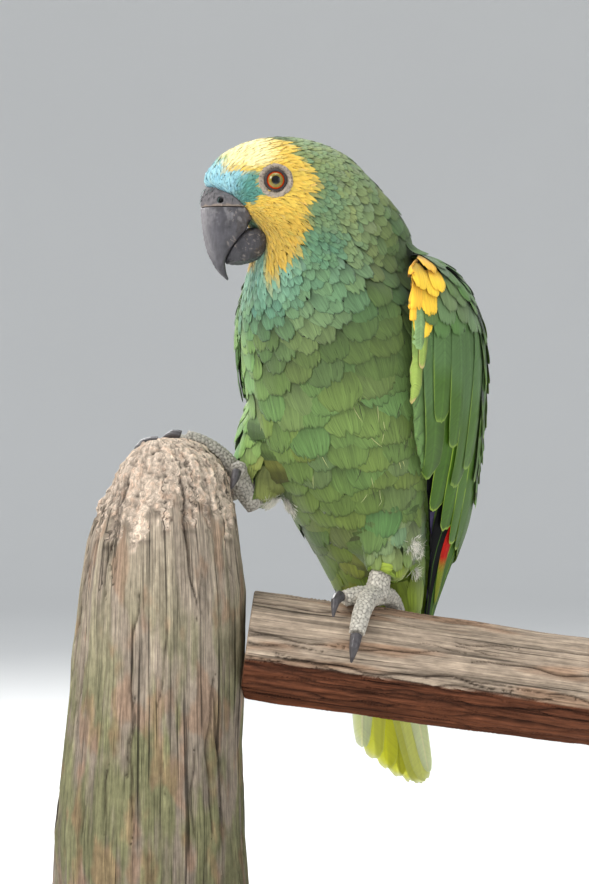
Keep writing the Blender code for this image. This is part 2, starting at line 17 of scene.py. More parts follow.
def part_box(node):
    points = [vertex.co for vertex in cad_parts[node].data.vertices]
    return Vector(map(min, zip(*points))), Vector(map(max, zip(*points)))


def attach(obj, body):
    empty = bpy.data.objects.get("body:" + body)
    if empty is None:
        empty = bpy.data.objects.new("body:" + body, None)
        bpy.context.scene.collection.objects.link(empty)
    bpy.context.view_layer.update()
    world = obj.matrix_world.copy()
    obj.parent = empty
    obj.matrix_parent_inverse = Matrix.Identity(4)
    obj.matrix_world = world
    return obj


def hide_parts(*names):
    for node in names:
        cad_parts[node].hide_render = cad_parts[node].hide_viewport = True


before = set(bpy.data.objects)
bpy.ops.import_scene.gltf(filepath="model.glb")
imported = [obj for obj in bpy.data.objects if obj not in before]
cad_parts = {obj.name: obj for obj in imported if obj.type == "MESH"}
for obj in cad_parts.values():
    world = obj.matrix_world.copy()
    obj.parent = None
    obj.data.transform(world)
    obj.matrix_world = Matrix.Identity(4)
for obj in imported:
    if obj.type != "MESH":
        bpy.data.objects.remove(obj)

bl_info = {
    "name": "Amazon Parrot Maker",
    "version": (1, 0, 0),
    "blender": (4, 5, 0),
    "location": "3D View > Sidebar > Parrot",
    "description": "Builds the skin, feathers, bill, feet, perch and stage of a life-size amazon parrot",
    "category": "Object",
}

MM = 0.001
SEED = 7
DRAWS = {"body": 1, "wings": 2, "tail": 3, "bill": 4, "feet": 5, "post": 11, "rail": 12}

# The head's own axes: forward along the bill, left out of the left eye, and up.
HEAD_TURN = math.radians(50)
HEAD_CENTRE = np.array((17.2, -46.6, 349.0)) * MM
FORWARD = np.array((-math.sin(HEAD_TURN), -math.cos(HEAD_TURN), 0.0))
LEFT = np.array((math.cos(HEAD_TURN), -math.sin(HEAD_TURN), 0.0))
UP = np.array((0.0, 0.0, 1.0))

# The rail's turn and drop, and the level way along it.
RAIL_TURN = math.radians(25)
RAIL_DROP = math.radians(7.9)
ALONG_RAIL = (0.906, 0.423)

# How far the body's middle stands to the left of the stand's, in millimetres.
BODY_MIDDLE = 31

BODY_NODES = ("head", "neck", "trunk", "tail", "thigh_left", "thigh_right")
SIDES = {"left": 1, "right": -1}

# The map that each piece is unwrapped to: its name, the heights it spans, its margin, and the patches of a
# small and of a long feather. After them, the most triangles that one piece of the coat may have.
BAKE_MAP = "OFBake"
MAP_HEIGHTS = (0.07, 0.38)
MAP_MARGIN = 0.02
TUFT_PATCH = (0.003, 0.003)
LONG_PATCH = (0.03, 0.09)
MOST_TRIANGLES = 190000


def tint(red, green, blue):
    """A colour given in everyday 0 to 255 values, as the linear light that shaders work in."""
    part = np.array((red, green, blue), float) / 255
    return tuple(np.where(part <= 0.04045, part / 12.92, ((part + 0.055) / 1.055) ** 2.4).tolist())


# Settings that a maker would change


def colour_setting(name, description, default):
    return bpy.props.FloatVectorProperty(
        name=name, description=description, default=default, size=3, min=0, max=1, subtype="COLOR"
    )


def length_setting(name, description, default):
    return bpy.props.FloatProperty(
        name=name, description=description, default=default, min=0, subtype="DISTANCE", unit="LENGTH"
    )


class CoatSettings(bpy.types.PropertyGroup):
    """Sizes and colours of the skin and its feathers."""

    skin_grain: length_setting("Skin grain", "Size of the skin's facets", 1.5 * MM)
    body_depth: length_setting("Body coat", "Depth of the feathers on the body", 2.4 * MM)
    head_depth: length_setting("Head coat", "Depth of the feathers on the head", 1.2 * MM)
    bridge: length_setting("Mantle reach", "Width of the creases that the mantle covers", 9 * MM)
    breast: colour_setting("Breast", "Green of the breast and belly", tint(101, 133, 73))
    olive: colour_setting("Olive", "Browner green mixed into the belly", tint(114, 124, 50))
    neck: colour_setting("Neck", "Blue-green below the cheeks", tint(84, 124, 93))
    nape: colour_setting("Nape", "Grey-green of the crown and nape", tint(122, 140, 92))
    turquoise: colour_setting("Front", "Turquoise above the bill", tint(140, 188, 198))
    teal: colour_setting("Lores", "Teal between the bill and the eye", tint(82, 138, 126))
    cream: colour_setting("Forehead", "Cream of the forehead", tint(255, 244, 196))
    yellow: colour_setting("Cheek", "Yellow of the face", tint(220, 183, 76))
    shoulder: colour_setting("Shoulder", "Yellow at the bend of the wing", tint(252, 204, 56))
    flame: colour_setting("Shoulder edge", "Orange-red at the bend of the wing", tint(238, 92, 30))
    wing: colour_setting("Wing", "Green of the wing", tint(76, 112, 44))
    lime: colour_setting("Feather edge", "Pale edge of the long feathers", tint(158, 186, 58))
    quill: colour_setting("Flight feathers", "Black of the flight feathers", tint(9, 10, 12))
    red: colour_setting("Wing patch", "Red at the root of the secondaries", tint(184, 32, 24))
    # The tail's colour is set near the brightest: partly its own yellow-green, partly painted light for the
    # light that shines through it.
    tail: colour_setting("Tail", "Yellow-green of the tail", tint(226, 230, 54))
    down: colour_setting("Down", "White down of the thigh", tint(232, 228, 214))


class HornSettings(bpy.types.PropertyGroup):
    """Colours of the bill, eyes and feet."""

    horn: colour_setting("Horn", "Slate of the bill", tint(72, 70, 75))
    horn_dust: colour_setting("Dusty horn", "Paler dust on the bill's ridge", tint(168, 164, 166))
    cere: colour_setting("Cere", "Skin round the nostrils", tint(106, 102, 104))
    lid: colour_setting("Eye skin", "Bare skin round the eye", tint(166, 154, 136))
    iris_rim: colour_setting("Iris rim", "Outer ring of the iris", tint(206, 62, 16))
    iris_core: colour_setting("Iris core", "Inner ring of the iris", tint(128, 112, 40))
    foot: colour_setting("Foot", "Scaly skin of the foot", tint(196, 190, 178))
    claw: colour_setting("Claw", "Slate of the claws", tint(70, 66, 68))


class PerchSettings(bpy.types.PropertyGroup):
    """Grain and colours of the perch and its stand."""

    grain: length_setting("Wood grain", "Size of the wood's facets", 0.85 * MM)
    crack: length_setting("Cracks", "Depth of the drying cracks", 1.5 * MM)
    weathered: colour_setting("Weathered", "Grey-brown of old wood", tint(160, 146, 130))
    gnawed: colour_setting("Gnawed", "Bare tan wood at the post's top", tint(204, 186, 168))
    bark: colour_setting("Underside", "Red-brown of the rail's underside", tint(100, 57, 36))
    algae: colour_setting("Algae", "Green film low on the post", tint(102, 106, 66))
    base: colour_setting("Stand", "Dark stain of the round base", tint(56, 40, 30))


class StageSettings(bpy.types.PropertyGroup):
    """Camera and light."""

    azimuth: bpy.props.FloatProperty(
        name="Azimuth", description="Angle of the camera", default=math.radians(25), subtype="ANGLE"
    )
    distance: length_setting("Distance", "From the camera to the middle of the stand", 1.06)
    height: length_setting("Height", "Height of the camera", 0.240)
    lens: bpy.props.FloatProperty(
        name="Lens", description="Focal length", default=95, min=1, unit="CAMERA"
    )
    floor: colour_setting("Floor", "Pale floor and backdrop", (0.84, 0.84, 0.83))


# Small tools


def seeded(part):
    """A source of random draws for one part, the same at every run."""
    return np.random.default_rng(SEED + DRAWS[part])


def blend(a, b, share):
    """Between a and b, by a share from 0 to 1."""
    return a + (b - a) * share


def step(low, high, value):
    """0 below low, 1 above high, and smooth between them."""
    t = np.clip((np.asarray(value, float) - low) / (high - low), 0, 1)
    return t * t * (3 - 2 * t)


def unit(vectors):
    return vectors / np.maximum(np.linalg.norm(vectors, axis=-1, keepdims=True), 1e-12)


def dot(a, b):
    return (a * b).sum(-1)


def mixed(base, other, share):
    """Colours of base with a share of other in each."""
    return base + (np.asarray(other) - base) * np.asarray(share)[..., None]


def head_place(points):
    """Millimetres forward, left and up from the middle of the head."""
    away = (points - HEAD_CENTRE) / MM
    return dot(away, FORWARD), dot(away, LEFT), away[..., 2]


def from_head(forward, left, up):
    """A place from its millimetres forward, left and up from the middle of the head."""
    return HEAD_CENTRE + (FORWARD * forward + LEFT * left + UP * up) * MM


def soft_noise(points, size, seed=0.0, octaves=3):
    """Smooth noise from -1 to 1 at each point, with features of about this size in metres."""
    shift = Vector((seed * 7.31, seed * 3.17, seed * 5.71))
    found = np.empty(len(points))
    for i, p in enumerate(points / size):
        found[i] = noise.fractal(Vector(p) + shift, 1.0, 2.0, octaves)
    return np.clip(found, -1, 1)


def point_tree(points):
    """A search tree of points."""
    tree = KDTree(len(points))
    for i, p in enumerate(points):
        tree.insert(p, i)
    tree.balance()
    return tree


def coordinates(mesh):
    found = np.empty(len(mesh.vertices) * 3)
    mesh.vertices.foreach_get("co", found)
    return found.reshape(-1, 3)


def normals(mesh):
    found = np.empty(len(mesh.vertices) * 3, np.float32)
    mesh.vertex_normals.foreach_get("vector", found)
    return found.reshape(-1, 3).astype(float)


def place(mesh, points):
    mesh.vertices.foreach_set("co", points.astype(np.float32).ravel())
    mesh.update()


def surface(names, grain, smoothing):
    """A fine skin fused from nodes, with its points and the ways they face."""
    mesh = refined(node_meshes(*names), grain, 0.05 * MM, smoothing)
    return mesh, coordinates(mesh), normals(mesh)


def raised(mesh, points, facing, move):
    """Moves each point of a mesh the way it faces, by millimetres."""
    place(mesh, points + facing * (move * MM)[:, None])


def loop_values(mesh, values):
    """Each corner's value, from a value for each vertex."""
    corner = np.empty(len(mesh.loops), np.int32)
    mesh.loops.foreach_get("vertex_index", corner)
    return values[corner]


def face_sizes(mesh):
    """How many corners each face has."""
    totals = np.empty(len(mesh.polygons), np.int32)
    mesh.polygons.foreach_get("loop_total", totals)
    return totals


def add_map(mesh, name, places):
    """Gives the mesh a map with a place for each corner."""
    mesh.uv_layers.new(name=name).data.foreach_set("uv", places.astype(np.float32).ravel())


def paint(mesh, name, colours):
    """Gives each vertex a colour."""
    layer = mesh.color_attributes.new(name, "FLOAT_COLOR", "POINT")
    values = np.ones((len(mesh.vertices), 4), np.float32)
    values[:, :3] = np.clip(colours, 0, 1)
    layer.data.foreach_set("color", values.ravel())


def add_object(name, mesh, material):
    """Links a mesh as a piece of the parrot with its material."""
    mesh.materials.clear()
    mesh.materials.append(material)
    mesh.shade_smooth()
    piece = bpy.data.objects.new(name, mesh)
    bpy.context.scene.collection.objects.link(piece)
    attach(piece, "root")
    return piece


def modified(mesh, *stack):
    """The mesh after a stack of modifiers, each given as its kind and its settings."""
    holder = bpy.data.objects.new("holder", mesh)
    bpy.context.scene.collection.objects.link(holder)
    for kind, settings in stack:
        made = holder.modifiers.new(kind.lower(), kind)
        for key, value in settings.items():
            setattr(made, key, value)
    graph = bpy.context.evaluated_depsgraph_get()
    result = bpy.data.meshes.new_from_object(holder.evaluated_get(graph), depsgraph=graph)
    bpy.data.objects.remove(holder)
    return result


def joined(meshes, swell=0.0):
    """One mesh of several, each welded and swollen a little so that thin cuts between them close."""
    whole = bmesh.new()
    for mesh in meshes:
        part = bmesh.new()
        part.from_mesh(mesh)
        bmesh.ops.remove_doubles(part, verts=part.verts, dist=0.01 * MM)
        bmesh.ops.recalc_face_normals(part, faces=part.faces)
        for v in part.verts:
            v.co += v.normal * swell
        held = bpy.data.meshes.new("part")
        part.to_mesh(held)
        part.free()
        whole.from_mesh(held)
        bpy.data.meshes.remove(held)
    made = bpy.data.meshes.new("joined")
    whole.to_mesh(made)
    whole.free()
    return made


def refined(meshes, grain, swell=0.0, smoothing=4):
    """Fuses meshes into one fine even skin."""
    return modified(
        joined(meshes, swell),
        ("REMESH", {"mode": "VOXEL", "voxel_size": grain}),
        ("SMOOTH", {"factor": 0.5, "iterations": smoothing}),
    )


def node_meshes(*names):
    return [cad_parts[name].data for name in names]


def unrolled(points, centre):
    """Each point's place on a map of the body: its turn about an upright axis and its height."""
    away = points - centre
    turn = np.arctan2(away[:, 0], away[:, 1]) / (2 * math.pi) + 0.5
    low, high = MAP_HEIGHTS
    rise = (points[:, 2] - low) / (high - low)
    return MAP_MARGIN + (1 - 2 * MAP_MARGIN) * np.stack([turn, rise], 1)


# The ground that feathers lie on


class Ground:
    """The outline of a part of the bird, which feathers are laid along."""

    def __init__(self, mesh):
        self.mesh = mesh
        self.points = coordinates(mesh)
        faces = [tuple(p.vertices) for p in mesh.polygons]
        self.tree = BVHTree.FromPolygons([Vector(p) for p in self.points], faces)

    def lay(self, points):
        """The nearest points of the ground to these, and its normals there."""
        flat = points.reshape(-1, 3)
        found = np.empty_like(flat)
        facing = np.empty_like(flat)
        nearest = self.tree.find_nearest
        for i, p in enumerate(flat):
            hit, normal, _, _ = nearest(p)
            found[i] = hit
            facing[i] = normal
        return found.reshape(points.shape), facing.reshape(points.shape)

    def hit(self, start, towards, reach=1.0):
        place_hit, normal, _, _ = self.tree.ray_cast(Vector(start), Vector(towards), reach)
        return place_hit, normal

    def scatter(self, rng, crowd):
        """Random points of the ground, with crowd(points) of them to each square metre."""
        mesh = self.mesh
        mesh.calc_loop_triangles()
        tris = np.empty(len(mesh.loop_triangles) * 3, np.int32)
        mesh.loop_triangles.foreach_get("vertices", tris)
        a, b, c = (self.points[tris.reshape(-1, 3)[:, k]] for k in range(3))
        area = np.linalg.norm(np.cross(b - a, c - a), axis=1) / 2
        share = area * crowd((a + b + c) / 3)
        count = int(share.sum())
        picked = rng.choice(len(share), count, p=share / share.sum())
        r, s = np.sqrt(rng.random(count))[:, None], rng.random(count)[:, None]
        a, b, c = a[picked], b[picked], c[picked]
        facing = unit(np.cross(b - a, c - a))
        return a * (1 - r) + b * (r * (1 - s)) + c * (r * s), facing


# Feathers


class Vane:
    """The shape of one kind of feather: a cupped blade, closed below, on a grid of rows."""

    def __init__(self, across, along, root=0.45, widest=0.6, tip=0.66, bow=0.3, fray=0.02, splits=0.0):
        self.across = np.array(across, float)
        self.along = np.array(along, float)
        self.root, self.widest, self.tip = root, widest, tip
        self.bow, self.fray, self.splits = bow, fray, splits
        self.count = len(across) * len(along)
        self.faces = self.closed_grid()

    def closed_grid(self):
        """Corner numbers of the upper face's quads, the underside's quads and the two ends."""
        wide, rows = len(self.across), len(self.along)
        faces = []
        for j in range(rows - 1):
            for i in range(wide - 1):
                a = j * wide + i
                faces.append((a, a + 1, a + wide + 1, a + wide))
            left, right = j * wide, j * wide + wide - 1
            faces.append((right, left, left + wide, right + wide))
        faces.append(tuple(range(wide - 1, -1, -1)))
        faces.append(tuple(range((rows - 1) * wide, rows * wide)))
        return faces

    def rim(self):
        """Pairs of neighbouring corners on the outline, where the shading breaks."""
        wide, rows = len(self.across), len(self.along)
        pairs = np.zeros((self.count, self.count), bool)
        for j in range(rows - 1):
            for a in (j * wide, j * wide + wide - 1):
                pairs[a, a + wide] = pairs[a + wide, a] = True
        for j in (0, rows - 1):
            for i in range(wide - 1):
                a = j * wide + i
                pairs[a, a + 1] = pairs[a + 1, a] = True
        return pairs

    def half_width(self, v):
        """Half the feather's width along it, as a share of its widest."""
        growing = self.root + (1 - self.root) * np.sin(np.clip(v / self.widest, 0, 1) * math.pi / 2)
        closing = np.clip((v - self.widest) / (1 - self.widest), 0, 1)
        return growing * (1 - (1 - self.tip) * closing**2)


CONTOUR = Vane(
    np.linspace(-1, 1, 23), (0, 0.3, 0.55, 0.73, 0.86, 0.94, 0.975, 1),
    root=0.5, widest=0.7, tip=0.86, bow=0.27, fray=0.022, splits=0.07,
)
SMALL_CONTOUR = Vane(
    np.linspace(-1, 1, 13), (0, 0.35, 0.62, 0.82, 0.94, 1),
    widest=0.65, tip=0.8, bow=0.32, fray=0.035, splits=0.08,
)
PLUME = Vane(
    (-1, -0.5, 0, 0.5, 1), (0, 0.4, 0.75, 1), root=0.6, widest=0.4, tip=0.42, bow=0.3, fray=0.09, splits=0.2
)
STRAND = Vane((-1, 0, 1), (0, 0.25, 0.5, 0.75, 1), root=0.9, widest=0.3, tip=0.15, bow=0.0, fray=0.0)
LONG = Vane(
    (-1, -0.97, -0.86, -0.72, -0.54, -0.34, -0.14, -0.05, 0.05, 0.14, 0.34, 0.54, 0.72, 0.86, 0.97, 1),
    (0, 0.1, 0.2, 0.3, 0.4, 0.49, 0.58, 0.66, 0.73, 0.79, 0.84, 0.885, 0.92, 0.95, 0.975, 0.99, 1),
    root=0.55, widest=0.5, tip=0.72, bow=0.13, fray=0.004, splits=0.02,
)


def centrelines(ground, roots, ways, lengths, steps, flow=None, follow=0.35):
    """Walks each feather's middle over the ground. Returns its points and the way across it there."""
    spots, facing = ground.lay(roots)
    heading = unit(ways - facing * dot(ways, facing)[:, None])
    rows = [(spots, np.cross(facing, heading))]
    for _ in range(steps):
        spots, facing = ground.lay(spots + heading * (lengths / steps)[:, None])
        if flow is not None:
            heading = heading + flow(spots) * follow
        heading = unit(heading - facing * dot(heading, facing)[:, None])
        rows.append((spots, np.cross(facing, heading)))
    return [np.stack([row[k] for row in rows], 1) for k in range(2)]


def along_lines(lines, share):
    """Values of each line at shares of its length, which may differ from corner to corner."""
    steps = lines.shape[1] - 1
    where = np.clip(share, 0, 1) * steps
    low = np.minimum(where.astype(int), steps - 1)
    part = (where - low)[..., None]
    rows = np.arange(len(lines))[:, None]
    flat_low = low.reshape(len(lines), -1)
    a, b = lines[rows, flat_low], lines[rows, flat_low + 1]
    return (a + (b - a) * part.reshape(len(lines), -1, 1)).reshape(*share.shape, 3)


def vane_points(ground, vane, plan, rng, flow=None):
    """Every corner of every feather of a plan, laid on the ground, with its across and along shares."""
    count = len(plan["root"])
    steps = plan.get("steps", 5)
    middle, side = centrelines(ground, plan["root"], plan["way"], plan["length"], steps, flow)
    u = np.broadcast_to(vane.across, (count, len(vane.along), len(vane.across)))
    v = np.broadcast_to(vane.along[:, None], u.shape)
    barbs = rng.normal(0, vane.fray, (count, 1, u.shape[2]))
    barbs = barbs - (rng.random(barbs.shape) < vane.splits) * rng.uniform(2, 6, barbs.shape) * vane.fray
    rounded = 1 - np.sqrt(1 - 0.97 * np.abs(u) ** 2.4)
    share = v * (1 - vane.bow * rounded * v) + barbs * step(0.3, 1.0, v)
    width = plan["width"][:, None, None] * vane.half_width(v)
    bent = plan.get("bend", np.zeros(count))[:, None, None] * plan["length"][:, None, None] * v**2
    flat = along_lines(middle, share) + along_lines(side, share) * (u * width + bent)[..., None]
    over = np.maximum(share - 1, 0)
    ahead = (middle[:, -1] - middle[:, -2]) * steps
    flat = flat + ahead[:, None, None, :] * over[..., None]
    ground_points, up = ground.lay(flat)
    low, high = plan["low"][:, None, None], plan["high"][:, None, None]
    run = np.clip(share, 0, 1)
    lift = low + (high - low) * run ** plan.get("rise", 1.1)
    lift = lift + plan["cup"][:, None, None] * (1 - u**2) * np.sqrt(run) * (1 - 0.8 * v**10)
    lift = lift - plan["roll"][:, None, None] * u * np.sqrt(run)
    return ground_points + up * lift[..., None], u, v, share * plan["length"][:, None, None], u * width


def feather_piece(name, vane, corners, colours, barbs, roots, patch, material, centre):
    """Joins feathers into one mesh piece with its colours, barb coordinates and map of patches."""
    count = len(roots)
    mesh = bpy.data.meshes.new(name)
    quads = np.array([f for f in vane.faces if len(f) == 4 and f != vane.faces[-1]], np.int32)
    ends = [np.array(f, np.int32) for f in vane.faces[-2:]]
    offset = (np.arange(count) * vane.count)[:, None]
    loops = [(quads.ravel()[None] + offset).astype(np.int32)]
    sizes = [np.full((count, len(quads)), 4)]
    for end in ends:
        if len(end) > 2:
            loops.append((end[None] + offset).astype(np.int32))
            sizes.append(np.full((count, 1), len(end)))
    corner = np.concatenate(loops, 1).ravel()
    size = np.concatenate(sizes, 1).ravel()
    mesh.vertices.add(count * vane.count)
    mesh.vertices.foreach_set("co", corners.astype(np.float32).ravel())
    mesh.loops.add(len(corner))
    mesh.loops.foreach_set("vertex_index", corner)
    mesh.polygons.add(len(size))
    mesh.polygons.foreach_set("loop_start", np.concatenate([[0], np.cumsum(size)[:-1]]).astype(np.int32))
    mesh.polygons.foreach_set("loop_total", size.astype(np.int32))
    mesh.update(calc_edges=True)
    mesh.validate()
    sharpen(mesh, vane)
    paint(mesh, "Coat", colours.reshape(-1, 3))
    add_map(mesh, "Barbs", barbs.reshape(-1, 2)[corner])
    add_map(mesh, BAKE_MAP, patch_map(vane, roots, patch, centre)[corner])
    return add_object(name, mesh, material)


def sharpen(mesh, vane):
    """Breaks the shading along each feather's outline."""
    ends = np.empty(len(mesh.edges) * 2, np.int32)
    mesh.edges.foreach_get("vertices", ends)
    pairs = ends.reshape(-1, 2) % vane.count
    flags = mesh.attributes.new("sharp_edge", "BOOLEAN", "EDGE")
    flags.data.foreach_set("value", vane.rim()[pairs[:, 0], pairs[:, 1]])


def patch_map(vane, roots, patch, centre):
    """A small patch for each feather, at its root's place on the unrolled body, none over another."""
    wide, tall = patch
    pitch = np.array((wide, tall)) * 1.3
    cells = (1 / pitch).astype(int)
    wanted = np.clip((unrolled(roots, centre) / pitch).astype(int), 0, cells - 1)
    taken = set()
    places = np.empty((len(roots), 2))
    for i, (a, b) in enumerate(wanted):
        places[i] = free_cell(taken, int(a), int(b), cells)
    grid_u = (vane.across[None, :] * 0.5 + 0.5) * wide
    grid_v = vane.along[:, None] * tall
    local = np.stack(np.broadcast_arrays(grid_u, grid_v), -1).reshape(1, -1, 2)
    return (places[:, None] * pitch + pitch * 0.1 + local).reshape(-1, 2)


def free_cell(taken, a, b, cells):
    """The free cell of the map nearest to the one wanted."""
    for ring in range(int(max(cells))):
        for da in range(-ring, ring + 1):
            for db in (range(-ring, ring + 1) if abs(da) == ring else (-ring, ring)):
                spot = (a + da, b + db)
                inside = 0 <= spot[0] < cells[0] and 0 <= spot[1] < cells[1]
                if inside and spot not in taken:
                    taken.add(spot)
                    return spot
    raise RuntimeError("the map has no room left for another feather")


def barb_places(u, v, run, out, rng, fan):
    """Where each corner lies across and along its feather's barbs, in millimetres."""
    count = len(u)
    shift = rng.uniform(0, 400, (count, 1, 1, 2))
    if fan:
        widest = np.abs(out).max(axis=(1, 2), keepdims=True)
        across = u / (1.7 - 0.8 * v) * widest
        places = np.stack([across, run], -1)
    else:
        places = np.stack([run - np.abs(out) * 0.9, np.abs(out) * 1.3], -1)
    return places / MM + shift


def coat_pieces(name, ground, vane, plan, shade, rng, material, fan=True, flow=None, patch=TUFT_PATCH):
    """Builds a plan's feathers as pieces small enough to handle, coloured by shade(plan, u, v)."""
    fans = sum(len(f) - 2 for f in vane.faces)
    most = MOST_TRIANGLES // fans
    total = len(plan["root"])
    parts = max(1, math.ceil(total / most))
    bounds = np.linspace(0, total, parts + 1).astype(int)
    centre = ground.points.mean(0)
    pieces = []
    for k in range(parts):
        part = {
            key: value[bounds[k] : bounds[k + 1]] if isinstance(value, np.ndarray) else value
            for key, value in plan.items()
        }
        corners, u, v, run, out = vane_points(ground, vane, part, rng, flow)
        colours = shade(part, u, v, rng)
        barbs = barb_places(u, v, run, out, rng, fan)
        label = name if parts == 1 else f"{name}_{k + 1}"
        pieces.append(
            feather_piece(label, vane, corners, colours, barbs, part["root"], patch, material, centre)
        )
    return pieces


def spread(points, order, ways, across, along, keep=0.92):
    """Picks points in the order given, so that feathers tile like shingles."""
    cell = float(max(across.max(), along.max()))
    small = {}
    chosen = []
    places = points.tolist()
    ahead = ways.tolist()
    wide, deep = across.tolist(), along.tolist()
    limit = keep * keep
    for i in np.argsort(order).tolist():
        x, y, z = places[i]
        w, d = wide[i], deep[i]
        level = max(0, int(math.log2(cell / max(w, d))))
        size = cell / 2**level
        home = (level, math.floor(x / size), math.floor(y / size), math.floor(z / size))
        if not room(small, (x, y, z), ahead[i], w, d, limit, cell, level):
            continue
        small.setdefault(home, []).append((x, y, z))
        chosen.append(i)
    return np.array(chosen, int)


def room(small, spot, way, wide, deep, limit, cell, level):
    """Whether no chosen point lies too near a spot, measured by the feather's own width and depth."""
    x, y, z = spot
    for other in range(max(0, level - 1), level + 2):
        size = cell / 2**other
        reach = max(1, math.ceil(max(wide, deep) / size))
        a, b, c = math.floor(x / size), math.floor(y / size), math.floor(z / size)
        for i in range(a - reach, a + reach + 1):
            for j in range(b - reach, b + reach + 1):
                for k in range(c - reach, c + reach + 1):
                    for p, q, r in small.get((other, i, j, k), ()):
                        dx, dy, dz = p - x, q - y, r - z
                        run = dx * way[0] + dy * way[1] + dz * way[2]
                        apart = dx * dx + dy * dy + dz * dz - run * run
                        if run * run / (deep * deep) + apart / (wide * wide) < limit:
                            return False
    return True


# Markings with painted light and shade, and the lie of the coat

BILL_ROOT = from_head(22, 0, -8)
EYE_MIDDLES = {"left": from_head(8.2, 14.6, 2.0), "right": from_head(8.2, -14.6, 2.0)}
GAZES = {
    name: unit(LEFT * side * math.cos(0.21) + FORWARD * math.sin(0.21)) for name, side in SIDES.items()
}

# Radius of the bare ring of skin round each eye.
RING_RADIUS = 6.7 * MM

# Millimetres from the bill's root to where the face's feathers and the neck's end.
FACE_REACH, NECK_REACH = 36, 60


def lie(points):
    """The way the coat lies: back from the bill over the head, then down the body."""
    away = unit(points - BILL_ROOT)
    far = step(0.03, 0.11, np.linalg.norm(points - BILL_ROOT, axis=-1))
    return unit(away - UP * (0.35 + 0.9 * far)[..., None])


def rows_order(points):
    """Grows along the lie of the coat, so that sorting by it goes from the bill to the tail."""
    return np.linalg.norm(points - BILL_ROOT, axis=-1) - 0.8 * points[..., 2]


def feather_width(points):
    """Width of a feather's showing part, from fine on the face to broad on the breast."""
    far = np.linalg.norm(points - BILL_ROOT, axis=-1) / MM
    _, _, up = head_place(points)
    far = far + np.interp(up, (-50, -36, -24), (14, 10, 0))
    wide = np.interp(
        far, (10, 22, 36, 46, 56, 66, 76, 90, 110), (1.0, 1.2, 2.0, 2.9, 4.8, 8.2, 11.5, 13.5, 14.5)
    )
    return wide * MM


def feather_step(wide):
    """How far a feather shows beyond the one over it, for its width."""
    return wide * np.interp(wide / MM, (1.0, 2.0, 3.0, 5.0, 10.0), (1.2, 0.95, 0.68, 0.56, 0.45))


def from_eye(points):
    """Distance from the nearer eye's gaze, in metres."""
    found = np.full(points.shape[:-1], 1.0)
    for name in SIDES:
        away = points - EYE_MIDDLES[name]
        ahead = dot(away, GAZES[name])
        side = np.linalg.norm(away - GAZES[name] * ahead[..., None], axis=-1)
        found = np.where(ahead > 0, np.minimum(found, side), found)
    return found


def face_mask(f, side, u):
    """How much of the yellow of the face a place on the head shows, from 0 to 1."""
    rear = np.interp(
        u, (-46, -42, -38, -33, -26, -21, -18.5, -16, -11, 0, 7, 12, 17),
        (10, 8.5, 6, 1.5, -0.5, -2, -6.5, -5, -4.5, -8.5, -7.5, -3.5, 0.5),
    )
    front = np.interp(u, (-46, -36, -30, -20, -12, -6.5, -3), (9, 11, 14, 17, 22, 18.5, 12.5))
    cheek = step(-1.8, 1.8, f - rear) * step(-1.0, 1.4, front - f)
    below_lore = step(-8.5, -4.5, u)
    cheek = np.where(u > -3, step(-1.8, 1.8, f - rear) * step(-1.5, 1.5, 14.5 + 3 * below_lore - f), cheek)
    cheek = cheek * step(2.5, 7, side)
    crown = step(5.5, 9, u) * step(-1, 2, f - np.interp(side, (0, 8, 12, 17), (10.5, 9, 3, -1)))
    crown = crown * step(-1.6, 1.2, 32 - f)
    over = step(4.0, 8.0, u) * step(-1.2, 1.2, f - rear) * step(10, 14, side)
    return np.clip(np.maximum(np.maximum(cheek * step(8.5, 5.5, u), crown), over), 0, 1)


def body_colours(points, coat):
    """Greens of the breast, belly, flank, back and vent, with greyer thighs, a tawny fold beside one, and
    painted light and shade.
    """
    x, y, z = (points / MM).T
    breast = np.array(coat.breast)
    colour = np.tile(breast, (len(points), 1))
    belly = step(285, 215, z)
    colour = mixed(colour, np.array(coat.olive) * 0.85, belly * 0.55)
    colour = colour * (1 - belly[:, None] * (0.2, 0.16, 0.18))
    # Painted light: the right flank is painted paler, as if light falls on it.
    flank = step(12, -22, x) * step(20, -20, y)
    colour = mixed(colour, breast * 1.7, flank * 0.8)
    # Painted shade: the upper left breast is painted darker, where it lies in shade.
    shaded_upper_breast = step(-8, 14, x) * step(250, 275, z)
    colour = mixed(colour, breast * (0.55, 0.5, 0.43), shaded_upper_breast)
    back = step(-5, 25, y) * step(330, 300, z)
    colour = mixed(colour, np.array(coat.wing) * 1.1, back * 0.6)
    vent = step(192, 172, z)
    colour = mixed(colour, coat.tail, vent * 0.18) * (1 + vent[:, None] * (0, 0.12, 0))
    thighs = thigh_share(points) * step(222, 200, z)
    colour = mixed(colour, tint(108, 128, 92), thighs * 0.75)
    beside = (points[:, 0] * ALONG_RAIL[0] + points[:, 1] * ALONG_RAIL[1]) / MM
    fold = step(12, 4, np.hypot(beside + 14, z - 219)) * (y < -20)
    return mixed(colour, tint(140, 124, 52), fold * 0.55)


def neck_colours(colour, coat, far, f, u):
    """Grey-green of the nape, and blue-green of the throat and behind the eye."""
    colour = mixed(colour, coat.nape, step(78, 52, far) * step(8, -6, f))
    under = step(-12, -26, u) * step(-64, -44, u) * step(-34, -8, f)
    front_neck = step(-4, 8, f) * step(-12, -22, u) * step(-70, -44, u)
    colour = mixed(colour, coat.neck, np.clip(under + front_neck, 0, 0.8))
    colour = mixed(colour, tint(142, 188, 164), front_neck * step(-60, -30, u) * 0.75)
    behind = step(-24, -14, f) * step(2, -8, f) * step(-46, -30, u) * step(14, 0, u)
    return mixed(colour, coat.neck, behind * 0.45)


